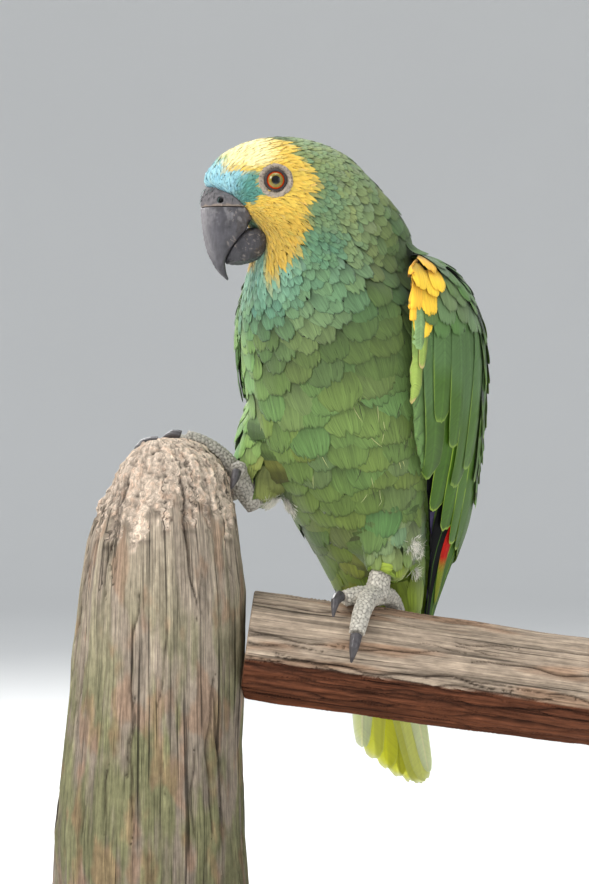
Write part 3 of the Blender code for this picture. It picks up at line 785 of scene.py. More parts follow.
def face_colours(colour, coat, f, side, u):
    """Teal lores, a turquoise front, and the yellow face that pales to cream on the forehead, with painted
    shade below.
    """
    front = step(13, 16, f) * step(-12, -8, u) * step(10.5, 7.0, u)
    lore = mixed(np.tile(coat.teal, (len(f), 1)), coat.turquoise, step(21, 28, f))
    lore = mixed(colour, np.zeros(3), front) + lore * front[:, None]
    colour = np.where(front[:, None] > 0, lore, colour)
    band = step(25.5, 29, f) * step(-6, -3, u) * step(13.5, 9.5, u)
    colour = mixed(colour, np.minimum(np.array(coat.turquoise) * 1.15, 1), band)
    face = (face_mask(f, side, u) * step(-49, -44, u))[:, None]
    yellow = np.tile(coat.yellow, (len(f), 1))
    yellow = mixed(yellow, np.array(coat.cream) * (0.92, 0.93, 0.8), step(7, 11, u) * step(6, 16, f) * 0.8)
    # Painted shade: the lower part of the face's yellow is painted darker, where it lies in shade.
    yellow = mixed(yellow, np.array(coat.yellow) * (0.62, 0.6, 0.58), step(-4, -20, u) * 0.75)
    return np.where(face > 0, colour * (1 - face) + yellow * face, colour)


def markings_and_painted_light(points, coat, rough=0.0):
    """Base colour of the plumage at each point of the body, with painted light and shade, the head's borders
    moved by rough.
    """
    f, l, u = head_place(points)
    f, u = f + rough * 2.0, u + rough * 1.6
    far = np.linalg.norm(points - BILL_ROOT, axis=-1) / MM
    colour = neck_colours(body_colours(points, coat), coat, far, f, u)
    return np.clip(face_colours(colour, coat, f, np.abs(l), u), 0, 1)


def edge_share(u, v, start=0.9):
    """How near a corner is to the feather's outline beyond its root."""
    return np.maximum(step(start, 1.0, v), step(start, 1.0, np.abs(u)) * step(0.45, 0.75, v))


def body_shade(dark_edge, variety, root_dusk=0.45):
    """A way of colouring contour feathers: each differs a little, with a dusky root and edge."""

    def shade(plan, u, v, rng):
        count = len(plan["root"])
        base = plan["colour"]
        lean = rng.normal(0, 1, (count, 1))
        grey = np.clip(rng.normal(0, 1, (count, 1)) - 0.9, 0, 1)
        warmth = np.array((0.85, 0.05, -0.8))
        base = base * (1 + variety * lean * warmth + rng.normal(0, variety * 0.55, (count, 1)))
        base = base + (base.mean(1, keepdims=True) * 1.05 - base) * grey * variety * 2.2
        colour = np.broadcast_to(base[:, None, None, :], (*u.shape, 3)).copy()
        dusk = 1 - root_dusk * step(0.66, 0.25, v)
        glow = 1 + 0.1 * step(0.6, 0.8, v) * step(1.0, 0.88, v)
        edge = 1 - plan["edge"][:, None, None] * dark_edge * edge_share(u, v, 0.955)
        streak = 1 + rng.normal(0, variety * 0.45, (count, 1, u.shape[2]))
        return colour * (dusk * glow * edge * streak)[..., None]

    return shade


# Materials


def new_material(name, roughness, specular=0.5, coat=0.0, coat_roughness=0.1, sheen=0.0):
    """A material and the parts of its node tree that its finish is built from."""
    material = bpy.data.materials.new(name)
    material.use_nodes = True
    tree = material.node_tree
    shader = tree.nodes["Principled BSDF"]
    shader.inputs["Roughness"].default_value = roughness
    shader.inputs["Specular IOR Level"].default_value = specular
    shader.inputs["Coat Weight"].default_value = coat
    shader.inputs["Coat Roughness"].default_value = coat_roughness
    shader.inputs["Sheen Weight"].default_value = sheen
    return material, tree, shader


def node(tree, kind, inputs=None, **settings):
    """Adds a node, sets it up, and feeds its inputs from values or from other nodes' outputs."""
    made = tree.nodes.new(kind)
    for key, value in settings.items():
        setattr(made, key, value)
    for key, value in (inputs or {}).items():
        socket = made.inputs[key]
        if isinstance(value, bpy.types.NodeSocket):
            tree.links.new(value, socket)
        else:
            socket.default_value = value
    return made


def painted(tree, name):
    return node(tree, "ShaderNodeVertexColor", layer_name=name).outputs["Color"]


def stretched(tree, vector, scale):
    return node(tree, "ShaderNodeMapping", {"Vector": vector, "Scale": scale}).outputs["Vector"]


def object_places(tree):
    return node(tree, "ShaderNodeTexCoord").outputs["Object"]


def grain(tree, vector, scale, detail=3.0, roughness=0.55):
    inputs = {"Vector": vector, "Scale": scale, "Detail": detail, "Roughness": roughness}
    return node(tree, "ShaderNodeTexNoise", inputs).outputs["Fac"]


def drawn_grain(tree, vector, scale, detail=3.0, roughness=0.55):
    """Grain drawn out by its own scale along each axis."""
    return grain(tree, stretched(tree, vector, scale), 1.0, detail, roughness)


def spanned(tree, value, low, high, to_low=0.0, to_high=1.0):
    inputs = {"Value": value, "From Min": low, "From Max": high, "To Min": to_low, "To Max": to_high}
    return node(tree, "ShaderNodeMapRange", inputs).outputs["Result"]


def added(tree, a, b):
    return node(tree, "ShaderNodeMath", {0: a, 1: b}, operation="ADD").outputs["Value"]


def lightened(tree, colour, amount):
    """A colour made lighter or darker by an amount about 1."""
    return node(tree, "ShaderNodeVectorMath", {0: colour, 1: amount}, operation="MULTIPLY").outputs["Vector"]


def varied(tree, colour, value, low, high, dark, light):
    """A colour made dark where a value is low and light where it is high."""
    return lightened(tree, colour, spanned(tree, value, low, high, dark, light))


def mixed_colour(tree, share, a, b):
    """Between two colours, by a share that a node works out."""
    made = node(tree, "ShaderNodeMix", data_type="RGBA")
    for index, value in ((0, share), (6, a), (7, b)):
        socket = made.inputs[index]
        if isinstance(value, bpy.types.NodeSocket):
            tree.links.new(value, socket)
        else:
            socket.default_value = (*value, 1) if index else value
    return made.outputs[2]


def coloured(tree, shader, colour, wear=None, smooth=0.0, rough=1.0):
    """Gives a finish its colour and, where wear is given, a roughness that follows the wear."""
    tree.links.new(colour, shader.inputs["Base Color"])
    if wear is not None:
        tree.links.new(spanned(tree, wear, 0.3, 0.7, smooth, rough), shader.inputs["Roughness"])


def bumped(tree, shader, height, distance, strength=1.0):
    made = node(tree, "ShaderNodeBump", {"Height": height, "Distance": distance, "Strength": strength})
    tree.links.new(made.outputs["Normal"], shader.inputs["Normal"])


def feather_material(name, pitch=1.0, contrast=0.3, roughness=0.58, sheen=0.12, relief=0.12):
    """Barbs in fine lines over the colour each feather carries, with painted shade in the slits where barbs
    part.
    """
    material, tree, shader = new_material(name, roughness, specular=0.32, sheen=sheen)
    barbs = node(tree, "ShaderNodeUVMap", uv_map="Barbs").outputs["UV"]
    fine = drawn_grain(tree, barbs, (3.4 * pitch, 0.08, 1), 2.0)
    broad = drawn_grain(tree, barbs, (0.9 * pitch, 0.05, 1))
    gaps = drawn_grain(tree, barbs, (1.7 * pitch, 0.11, 1), 1.0)
    lines = added(tree, fine, broad)
    colour = varied(tree, painted(tree, "Coat"), lines, 0.7, 1.3, 1 - contrast, 1 + contrast)
    # Painted shade: the colour darkens in the slits where barbs part.
    colour = varied(tree, colour, gaps, 0.27, 0.33, 1 - 1.6 * contrast, 1.0)
    coloured(tree, shader, colour, fine, roughness - 0.08, roughness + 0.1)
    bumped(tree, shader, lines, relief * MM, 0.8)
    return material


def skin_material():
    """Plumage colours over fine pimpled skin."""
    material, tree, shader = new_material("Feathered_Skin", 0.7, specular=0.25)
    places = object_places(tree)
    pimples = node(tree, "ShaderNodeTexVoronoi", {"Vector": places, "Scale": 520.0}).outputs["Distance"]
    mottle = grain(tree, places, 180.0)
    colour = varied(tree, painted(tree, "Coat"), mottle, 0.3, 0.7, 0.7, 1.05)
    coloured(tree, shader, colour, mottle, 0.62, 0.8)
    bumped(tree, shader, pimples, 0.2 * MM, 0.6)
    return material


def horn_material(name, layer, roughness=0.42, streaks=(300.0, 300.0, 90.0), relief=0.12, coat=0.08):
    """Horn with fine growth lines and scuffs over the colour laid on each piece."""
    material, tree, shader = new_material(name, roughness, specular=0.45, coat=coat, coat_roughness=0.25)
    places = object_places(tree)
    lines = drawn_grain(tree, places, streaks, 4.0, 0.65)
    scuffs = grain(tree, places, 900.0, 2.0, 0.7)
    colour = varied(tree, painted(tree, layer), lines, 0.32, 0.68, 0.78, 1.22)
    coloured(tree, shader, colour, scuffs, roughness - 0.1, roughness + 0.2)
    bumped(tree, shader, added(tree, lines, scuffs), relief * MM, 0.7)
    return material


def scaly_material(name, layer, roughness=0.6):
    """Dry scaly skin with a fine pebbled surface."""
    material, tree, shader = new_material(name, roughness, specular=0.3)
    places = object_places(tree)
    pebbles = node(tree, "ShaderNodeTexVoronoi", {"Vector": places, "Scale": 1500.0}).outputs["Distance"]
    mottle = grain(tree, places, 400.0)
    colour = varied(tree, painted(tree, layer), mottle, 0.3, 0.7, 0.8, 1.15)
    coloured(tree, shader, colour, mottle, roughness - 0.08, roughness + 0.12)
    bumped(tree, shader, pebbles, 0.08 * MM, 0.6)
    return material


def eye_material():
    """A wet eye: the iris's colours with fine spokes under a clear coat."""
    material, tree, shader = new_material("Eye", 0.4, specular=0.05, coat=1.0, coat_roughness=0.03)
    flecks = grain(tree, object_places(tree), 2600.0, 3.0)
    coloured(tree, shader, varied(tree, painted(tree, "Iris"), flecks, 0.3, 0.7, 0.75, 1.25))
    return material


def wood_material(name, layer, axis_scale, relief=0.5):
    """Old split wood: long grain, fine checks and grey wear over the colour laid on each piece."""
    material, tree, shader = new_material(name, 0.85, specular=0.18)
    places = node(tree, "ShaderNodeUVMap", uv_map="Grain").outputs["UV"]
    fibres, bands, checks, hairs = (
        drawn_grain(tree, places, (across, axis_scale * along, 1), detail, roughness)
        for across, along, detail, roughness in (
            (1500.0, 1.5, 6.0, 0.7), (330.0, 0.5, 5.0, 0.65), (520.0, 0.3, 3.0, 0.5), (1300.0, 0.7, 2.0, 0.5)
        )
    )
    slits = spanned(tree, checks, 0.34, 0.39)
    fine = spanned(tree, hairs, 0.3, 0.36)
    flecks = drawn_grain(tree, places, (420.0, axis_scale * 7, 1), 3.0, 0.6)
    colour = painted(tree, layer)
    # The slits and fine checks darken the colour, as painted shade in them.
    for value, low, high, dark, light in (
        (fibres, 0.32, 0.68, 0.55, 1.42), (bands, 0.32, 0.68, 0.68, 1.3), (flecks, 0.35, 0.68, 0.85, 1.22),
        (slits, 0, 1, 0.3, 1.0), (fine, 0, 1, 0.5, 1.0),
    ):
        colour = varied(tree, colour, value, low, high, dark, light)
    coloured(tree, shader, colour, fibres, 0.75, 0.95)
    bumped(tree, shader, added(tree, added(tree, fibres, slits), fine), relief * MM, 0.9)
    return material


def stained_material(colour):
    """Dark stained and waxed wood for the stand's base, its grain running across the disc."""
    material, tree, shader = new_material("Stained_Base", 0.4, specular=0.4, coat=0.25, coat_roughness=0.2)
    places, stain = object_places(tree), np.array(colour)
    rings = drawn_grain(tree, places, (14.0, 160.0, 60.0), 5.0, 0.6)
    pores = drawn_grain(tree, places, (90.0, 1600.0, 400.0), 2.0)
    shade = mixed_colour(tree, spanned(tree, rings, 0.35, 0.65), stain * 0.55, stain * 1.7)
    coloured(tree, shader, varied(tree, shade, pores, 0.35, 0.6, 0.6, 1.1), rings, 0.32, 0.48)
    bumped(tree, shader, pores, 0.1 * MM, 0.5)
    return material


def steel_material():
    """Brushed steel for the stand's rods, with fine rings round them."""
    material, tree, shader = new_material("Brushed_Rod", 0.32, specular=0.5)
    shader.inputs["Metallic"].default_value = 1.0
    brush = drawn_grain(tree, object_places(tree), (60.0, 60.0, 5200.0), 2.0)
    colour = mixed_colour(tree, brush, (0.42, 0.43, 0.44), (0.66, 0.66, 0.67))
    coloured(tree, shader, colour, brush, 0.24, 0.42)
    bumped(tree, shader, brush, 0.03 * MM, 0.4)
    return material


def floor_material(colour):
    """Pale matt floor with the faintest unevenness."""
    material, tree, shader = new_material("Pale_Floor", 0.9, specular=0.2)
    cloud = grain(tree, object_places(tree), 3.0)
    pale = np.array(colour)
    coloured(tree, shader, mixed_colour(tree, cloud, pale * 0.98, np.minimum(pale * 1.01, 1)))
    return material


# Making the bird

GROUNDS = {}

# How far solids swell as they fuse, so that the cuts between them close.
SWELL = 0.45 * MM


def grounds(coat):
    """The fused outlines of the body and of each wing, made once."""
    if "body" not in GROUNDS:
        GROUNDS["body"] = Ground(refined(node_meshes(*BODY_NODES), coat.skin_grain, SWELL, 8))
        for name, side in SIDES.items():
            nodes = node_meshes("wing_" + name, "primaries_" + name)
            GROUNDS["wing_" + name] = Ground(drawn_forward(refined(nodes, 1.1 * MM, SWELL, 5), side))
    return GROUNDS


def drawn_forward(mesh, side):
    """Draws the front edge of a wing's outline forward, where its coverts fluff out over the breast."""
    points = coordinates(mesh)
    level = (points[:, 2] / (2 * MM)).astype(int)
    front = np.full(level.max() + 1, 1.0)
    np.minimum.at(front, level, points[:, 1])
    behind = (points[:, 1] - front[level]) / MM
    z = points[:, 2] / MM
    share = step(16, 2, behind) * step(222, 246, z) * step(323, 312, z)
    place(mesh, points + share[:, None] * np.array((-1.2 * side, -4.8, 0.0)) * MM)
    return mesh


def coat_depth(points, coat):
    """Depth of the feathers over the skin at each point."""
    far = np.linalg.norm(points - BILL_ROOT, axis=-1)
    depth = blend(coat.head_depth, coat.body_depth, step(0.045, 0.08, far))
    return np.where(points[..., 2] < 150 * MM, 0.8 * MM, depth)


def make_skin(coat):
    """The single skin: body and wings fused, drawn in by the coat's depth, marked as the coat is and darkened
    as painted shade.
    """
    held = grounds(coat)
    tailless = node_meshes(*(name for name in BODY_NODES if name != "tail"))
    core = refined(tailless, coat.skin_grain, SWELL, 8)
    whole = refined([core, held["wing_left"].mesh, held["wing_right"].mesh], 1.7 * MM, 0, 3)
    points, facing = coordinates(whole), normals(whole)
    ground = Ground(whole)
    depth = coat_depth(points, coat) + 0.4 * MM
    for i, (p, n) in enumerate(zip(points, facing)):
        across, _ = ground.hit(p - n * 0.1 * MM, -n, 0.02)
        if across is not None:
            depth[i] = min(depth[i], 0.42 * (Vector(p) - across).length)
    folds = soft_noise(points, 9 * MM, 2.0) * 0.25 * MM
    place(whole, points - facing * (depth - folds)[:, None])
    # Painted shade: the skin under the feathers is painted darker than the coat, a little less on the head.
    on_head = step(70, 45, np.linalg.norm(points - BILL_ROOT, axis=1) / MM)
    paint(whole, "Coat", markings_and_painted_light(points, coat) * (0.6 + 0.2 * on_head)[:, None])
    add_map(whole, BAKE_MAP, unrolled(loop_values(whole, coordinates(whole)), points.mean(0)))
    skin = add_object("skin", whole, skin_material())
    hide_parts("head", "neck", "trunk", "thigh_left", "thigh_right", "wing_left", "wing_right")
    return skin


def covered(points, facing, held):
    """Whether a wing lies close over each point."""
    found = np.zeros(len(points), bool)
    for name in SIDES:
        wing = held["wing_" + name]
        low, high = wing.points.min(0) - 2 * MM, wing.points.max(0) + 2 * MM
        near = ((points > low) & (points < high)).all(1)
        reach = np.where((points[:, 2] < 262 * MM) & (facing[:, 1] < 0.3), 2.2 * MM, 22 * MM)
        for i in np.nonzero(near)[0]:
            hit, normal = wing.hit(points[i] - facing[i] * 1.0 * MM, facing[i], reach[i])
            found[i] |= hit is not None and normal.dot(Vector(facing[i])) > 0
    return found


def contour_plan(points, facing, coat, rng):
    """Sizes, heights and colours for contour feathers rooted at these points."""
    count = len(points)
    wide = feather_width(points)
    deep = feather_step(wide)
    depth = coat_depth(points, coat)
    size = rng.uniform(0.88, 1.16, count)
    way = lie(points)
    twist = rng.normal(0, 0.09, count)[:, None]
    way = unit(way + np.cross(facing, way) * twist)
    return {
        "root": points,
        "way": way,
        "length": deep * 3.1 * size,
        "width": wide * 0.68 * size,
        "low": -depth * 0.6,
        "high": depth * rng.normal(-0.02, 0.09, count),
        "cup": depth * 0.14,
        "roll": depth * rng.normal(0, 0.05, count),
        "bend": rng.normal(0, 0.035, count),
        "edge": rng.uniform(0.6, 1.2, count),
        "colour": markings_and_painted_light(points + way * (deep * 2.2)[:, None], coat, soft_noise(points, 3.5 * MM, 4.0)),
    }


def make_body_coat(coat, rng):
    """Every contour feather of head, neck, breast, belly, back and thighs."""
    held = grounds(coat)
    body = held["body"]

    def crowd(points):
        wide = feather_width(points)
        return 9 / (wide * feather_step(wide))

    points, facing = body.scatter(rng, crowd)
    shown = (points[:, 2] > 146 * MM) & (from_eye(points) > RING_RADIUS * 0.9)
    points, facing = points[shown], facing[shown]
    wide = feather_width(points)
    legs = thigh_share(points)
    wide = blend(wide, 5.5 * MM, legs)
    deep = feather_step(wide)
    keep = spread(points, rows_order(points), lie(points), wide, deep)
    points, facing = points[keep], facing[keep]
    bare = ~covered(points, facing, held)
    points, facing = points[bare], facing[bare]
    plan = contour_plan(points, facing, coat, rng)
    legs = thigh_share(points)
    plan["width"] = blend(plan["width"], 3.4 * MM, legs)
    plan["length"] = blend(plan["length"], 12 * MM, legs)
    plan["edge"] = plan["edge"] * (1 - 0.8 * legs)
    far = np.linalg.norm(points - BILL_ROOT, axis=1) / MM
    face, neck = far < FACE_REACH, (far >= FACE_REACH) & (far < NECK_REACH)
    downward = np.argsort(-points[:, 2])
    soft = feather_material(
        "Face_Feathers", pitch=1.6, contrast=0.13, roughness=0.75, sheen=0.15, relief=0.03
    )
    firm = feather_material("Body_Feathers", pitch=1.0, contrast=0.3)
    pieces = []
    for label, chosen, vane, finish, rise, shade in (
        ("face_feathers", face, PLUME, soft, 0.78, body_shade(0.0, 0.05, 0.1)),
        ("neck_feathers", neck, SMALL_CONTOUR, firm, 0.6, body_shade(0.75, 0.08)),
        ("body_feathers", far >= NECK_REACH, CONTOUR, firm, 0.6, body_shade(0.52, 0.085)),
    ):
        order = downward[chosen[downward]]
        part = {key: value[order] for key, value in plan.items()}
        part["rise"] = rise
        if vane is PLUME:
            for key, scale in (("width", 0.92), ("length", 1.05), ("low", 0.7), ("cup", 0.6)):
                part[key] = part[key] * scale
        pieces += coat_pieces(label, body, vane, part, shade, rng, finish, flow=lie)
    pieces += make_mantle(coat, firm, rng) + make_down(coat, body, rng) + make_strays(body, rng)
    return pieces


def make_mantle(coat, finish, rng):
    """Broad feathers of the mantle that close the creases between the back, the neck and the wings."""
    held = grounds(coat)
    gap = coat.bridge / 2
    sources = [held[key] for key in ("body", "wing_left", "wing_right")]
    mesh = refined([source.mesh for source in sources], 2.2 * MM, gap, 6)
    place(mesh, coordinates(mesh) - normals(mesh) * gap)
    ground = Ground(mesh)
    wide, deep = 9 * MM, 4.5 * MM
    points, facing = ground.scatter(rng, lambda p: np.full(len(p), 5 / (wide * deep)))
    high = (points[:, 2] > 236 * MM) & (points[:, 2] < 334 * MM)
    behind = points[:, 1] > np.interp(points[:, 2] / MM, (300, 312), (0, -26)) * MM
    points, facing = points[high & behind], facing[high & behind]
    nearest = np.full(len(points), 1.0)
    for source in sources:
        laid, _ = source.lay(points)
        nearest = np.minimum(nearest, dot(points - laid, facing))
    tree = point_tree(points)
    bridging = np.zeros(len(points), bool)
    for i in np.nonzero(nearest > 0.8 * MM)[0]:
        for _, j, _ in tree.find_range(points[i], 7 * MM):
            bridging[j] = True
    points, facing = points[bridging], facing[bridging]
    each = np.ones(len(points))
    chosen = spread(points, rows_order(points), lie(points), wide * each, deep * each)
    points, facing = points[chosen], facing[chosen]
    plan = contour_plan(points, facing, coat, rng)
    count = len(points)
    plan["width"], plan["length"] = np.full(count, 6.0 * MM), rng.uniform(10, 13, count) * MM
    plan["low"], plan["high"] = np.full(count, -1.5 * MM), rng.uniform(0.0, 0.5, count) * MM
    plan["colour"] = mixed(plan["colour"], np.array(coat.wing) * 1.2, 0.6 * np.ones(count))
    shade = body_shade(0.55, 0.12)
    return coat_pieces("mantle_feathers", ground, CONTOUR, plan, shade, rng, finish, flow=lie)


def strand_plan(points, way, length, width, stand, colour, rng):
    """A plan of loose single barbs, with their lengths, width and standing heights in millimetres."""
    count = len(points)
    return {
        "root": points, "way": unit(way), "length": length * MM, "width": np.full(count, width * MM / 2),
        "low": np.full(count, -0.3 * MM), "high": stand * MM, "cup": np.full(count, 0.12 * MM),
        "roll": np.zeros(count), "bend": rng.normal(0, 0.16, count), "edge": np.zeros(count),
        "colour": colour,
    }


def make_down(coat, ground, rng):
    """White down that shows at the back of the left thigh and under the right."""
    tufts = (
        ((60, -4, 195), 4.5), ((57, 12, 192), 4), ((53, 15, 182), 2.5), ((-2, -19, 212), 6),
        ((4, -13, 213), 5),
    )
    points, _ = ground.scatter(rng, lambda p: np.full(len(p), 9e6))
    away = np.stack([np.linalg.norm(points / MM - spot, axis=1) / wide for spot, wide in tufts], 1).min(1)
    points = points[rng.random(len(points)) < step(1.0, 0.2, away) * 0.75]
    count = len(points)
    way = lie(points) * 0.8 + rng.normal(0, 0.5, (count, 3)) + np.array((0.25, 0.1, 0.0))
    colour = np.array(coat.down) * rng.uniform(0.75, 1.1, (count, 1))
    length, stand = rng.uniform(2.5, 5.5, count), rng.uniform(0.4, 1.9, count)
    plan = strand_plan(points, way, length, 0.18, stand, colour, rng)
    finish = feather_material("Down", contrast=0.1)
    return coat_pieces("down", ground, STRAND, plan, body_shade(0.0, 0.02), rng, finish)


def make_strays(ground, rng):
    """Stray barbs that have slipped out of place on the lower breast."""
    points, _ = ground.scatter(rng, lambda p: np.full(len(p), 0.25e6))
    low = step(268, 245, points[:, 2] / MM) * step(198, 215, points[:, 2] / MM)
    chance = low * (0.15 + 0.85 * step(42, 56, points[:, 0] / MM)) * (points[:, 1] < -18 * MM)
    points = points[rng.random(len(points)) < chance * 0.14]
    count = len(points)
    way = lie(points) + rng.normal(0, 0.22, (count, 3))
    dark = (rng.random(count) < 0.45)[:, None]
    colour = np.where(dark, np.array(tint(58, 56, 44)), np.array(tint(186, 190, 132)))
    length, stand = rng.uniform(5, 10, count), rng.uniform(0.2, 0.6, count)
    plan = strand_plan(points, way, length, 0.3, stand, colour, rng)
    finish = feather_material("Stray_Barbs")
    return coat_pieces("stray_barbs", ground, STRAND, plan, body_shade(0.0, 0.05), rng, finish)


def thigh_share(points):
    """1 on the thighs' loose short feathers and 0 elsewhere."""
    found = np.zeros(len(points))
    for name in ("thigh_left", "thigh_right"):
        low, high = (np.array(corner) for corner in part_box(name))
        middle, half = (low + high) / 2, (high - low) / 2 + 1 * MM
        away = np.linalg.norm((points - middle) / half, axis=1)
        found = np.maximum(found, step(1.25, 0.95, away))
    return found


# Wings


class WingMap:
    """Finds a place on a folded wing from its height and its share of the way from front to back."""

    def __init__(self, ground, side):
        self.ground, self.side = ground, side
        self.heights = np.arange(139, 323, 1.5) * MM
        self.fronts, self.backs = [], []
        for z in self.heights:
            ring = ground.points[np.abs(ground.points[:, 2] - z) < 1.4 * MM]
            outer = ring[:, 0] * side
            self.fronts.append(ring[np.argmin(ring[:, 1] - outer * 0.3)])
            self.backs.append(ring[np.argmax(ring[:, 1] - outer * 0.1)])
        self.fronts, self.backs = np.array(self.fronts), np.array(self.backs)

    def edge(self, table, z):
        return np.array([np.interp(z, self.heights, table[:, k]) for k in range(3)])

    def spot(self, z, t):
        """The wing's outer face at a height in millimetres and a share from front to back."""
        height = z * MM
        front, back = self.edge(self.fronts, height), self.edge(self.backs, height)
        front[2] = back[2] = height
        chord = back - front
        outward = np.array((chord[1] * self.side, -chord[0] * self.side, 0.0))
        outward = unit(outward * np.sign(outward[0] * self.side))
        start = front + chord * t + outward * 0.05
        hit, _ = self.ground.hit(start, -outward, 0.09)
        return np.array(hit) if hit is not None else front + chord * t


def quill_plan(wing, rows):
    """A plan of long feathers from rows of root and tip places, widths, heights and colours."""

    def column(key, default=None):
        return np.array([row.get(key, default) for row in rows])

    roots, tips = (np.array([wing.spot(*row[key]) for row in rows]) for key in ("root", "tip"))
    return {
        "root": roots, "way": unit(tips - roots), "length": np.linalg.norm(tips - roots, axis=1) * 1.02,
        "width": column("width") * MM / 2, "low": column("low") * MM, "high": column("high") * MM,
        "cup": column("cup", 0.5) * MM, "roll": column("roll") * MM * wing.side,
        "bend": column("bend", 0.0) * wing.side, "colour": column("colour"), "rim": column("rim"),
        "base": column("base"), "turn": column("turn"), "steps": 10,
    }


def quill_shade(side, shadow=0.32):
    """Colours of long feathers: a darker inner web, a lighter shaft and a pale rim on the front web."""

    def shade(plan, u, v, rng):
        count = len(plan["root"])
        front = u * side < 0
        colour = mixed(
            np.broadcast_to(plan["base"][:, None, None, :], (*u.shape, 3)),
            plan["colour"][:, None, None, :],
            step(0.0, 0.16, v - plan["turn"][:, None, None]),
        )
        inner = 1 - shadow * step(0.1, 0.9, np.where(front, 0, np.abs(u)))
        shaft = 1 + 0.2 * step(0.12, 0.03, np.abs(u))
        streak = 1 + rng.normal(0, 0.04, (count, 1, u.shape[2]))
        colour = colour * (inner * shaft * streak)[..., None]
        ahead = (1 - v) * plan["length"][:, None, None] / MM
        rim = np.maximum(step(1.8, 0.5, ahead), np.where(front, 1.0, 0.35) * step(0.85, 0.97, np.abs(u)))
        rim = rim * step(0.0, 0.2, v - plan["turn"][:, None, None] + 0.1)
        colour = mixed(colour, plan["rim"][:, None, None, :], rim * 0.8)
        return np.clip(colour, 0, 1)

    return shade


def greater_rows(coat, rng, side):
    """The breast's feathers at the wing's front edge, the big coverts, and small ones paler on the left."""
    green, lime = np.array(coat.wing) * (1.12, 0.95, 1.9), np.array(coat.lime)
    rows = []
    for z_tip in range(226, 268, 7):
        shade = np.array(coat.breast) * rng.uniform(0.8, 1.0)
        rows.append({
            "root": (z_tip + 15, 0.03), "tip": (z_tip, -0.03), "width": 8.5, "low": -0.7, "high": 0.4,
            "roll": 0.2, "cup": 0.4, "colour": shade, "base": shade * 0.8, "rim": shade * 0.8, "turn": 0.2,
        })
    for k, (t_root, t_tip, z_root, z_tip, width) in enumerate((
        (0.06, -0.03, 298, 223, 12.5),
        (0.16, 0.10, 301, 249, 13.0),
        (0.25, 0.15, 301, 238, 12.5),
        (0.32, 0.11, 300, 220, 12.5),
        (0.43, 0.20, 300, 228, 12.0),
        (0.54, 0.29, 300, 222, 11.5),
        (0.64, 0.39, 301, 224, 11.0),
        (0.74, 0.50, 302, 222, 11.0),
        (0.83, 0.62, 303, 222, 10.5),
        (0.91, 0.74, 303, 220, 10.5),
        (0.96, 0.86, 303, 218, 10.5),
    )):
        shade = green * rng.uniform(0.9, 1.14) * (1 + 0.12 * (k == 1))
        rows.append({
            "root": (z_root, t_root), "tip": (z_tip, t_tip), "width": width, "low": -0.5,
            "high": 0.9, "roll": 0.5, "cup": 0.45, "colour": shade * (0.72, 0.8, 0.34), "base": shade,
            "rim": mixed(shade, lime, 0.5), "turn": 0.5, "bend": 0.03,
        })
    pale, tawny = np.array(tint(140, 172, 112)), np.array(tint(206, 178, 120))
    front = np.array(tint(148, 170, 80)) if side > 0 else green
    for across, z_tip, width in ((0.02, 272, 5.0), (-0.02, 257, 7.5)):
        rows.append({
            "root": (298, across + 0.03), "tip": (z_tip, across), "width": width, "low": -0.4,
            "high": 1.4, "roll": 0.3, "colour": front, "base": mixed(front, green, 0.6),
            "rim": tawny if side > 0 else green, "turn": 0.45,
        })
    rows.append({
        "root": (308, 0.04), "tip": (280, 0.01), "width": 6, "low": -0.8, "high": 1.6, "roll": 0.3,
        "colour": pale * 0.85, "base": green, "rim": pale, "turn": 0.3,
    })
    return rows


def tertial_rows(coat, rng):
    """Short overlapping feathers of the wing's rear, dark at the root and green to lime at the tip."""
    green, lime, dusk = np.array(coat.wing), np.array(coat.lime), np.array(tint(44, 42, 50))
    rows = []
    for z_tip in range(212, 292, 8):
        for t in (0.46, 0.56, 0.66, 0.77, 0.88):
            z, across = z_tip + rng.uniform(-3, 3), t + rng.uniform(-0.03, 0.03)
            shade = green * rng.uniform(0.85, 1.35)
            rows.append({
                "root": (min(z + 20, 318), min(across + 0.05, 0.97)), "tip": (z, across),
                "width": rng.uniform(6, 8), "low": -0.6, "high": rng.uniform(0.9, 2.0), "roll": 0.5,
                "cup": 0.4, "colour": shade, "base": mixed(green, dusk, rng.uniform(0.3, 1.0)),
                "turn": rng.uniform(0.45, 0.75), "rim": mixed(shade, lime, rng.uniform(0.2, 0.9)),
                "bend": rng.normal(0, 0.04),
            })
    return sorted(rows, key=lambda row: row["tip"][0])


def secondary_rows(coat, rng):
    """The long secondaries with their lime edges, in steps down the wing."""
    green, lime = np.array(coat.wing) * (0.66, 0.74, 0.18), np.array(coat.lime)
    rows = []
    for t_tip in np.arange(-0.02, 0.86, 0.075):
        z_tip = np.interp(
            t_tip, (0, 0.05, 0.11, 0.2, 0.3, 0.45, 0.6, 0.75, 0.85),
            (209, 201, 195, 190.5, 187, 184, 183.5, 187, 192),
        )
        t_root, z_root = min(t_tip + 0.22 - 0.1 * t_tip, 0.97), 262 - 13 * t_tip
        width = 12 - 2 * t_tip
        shade = green * rng.uniform(0.9, 1.12)
        rows.append({
            "root": (z_root, t_root), "tip": (z_tip, t_tip), "width": width, "low": -0.8,
            "high": 0.35, "roll": 0.45, "cup": 0.4, "colour": shade, "base": green * 0.6,
            "rim": mixed(shade, lime, 0.9), "turn": 0.2, "bend": 0.05,
        })
    return rows


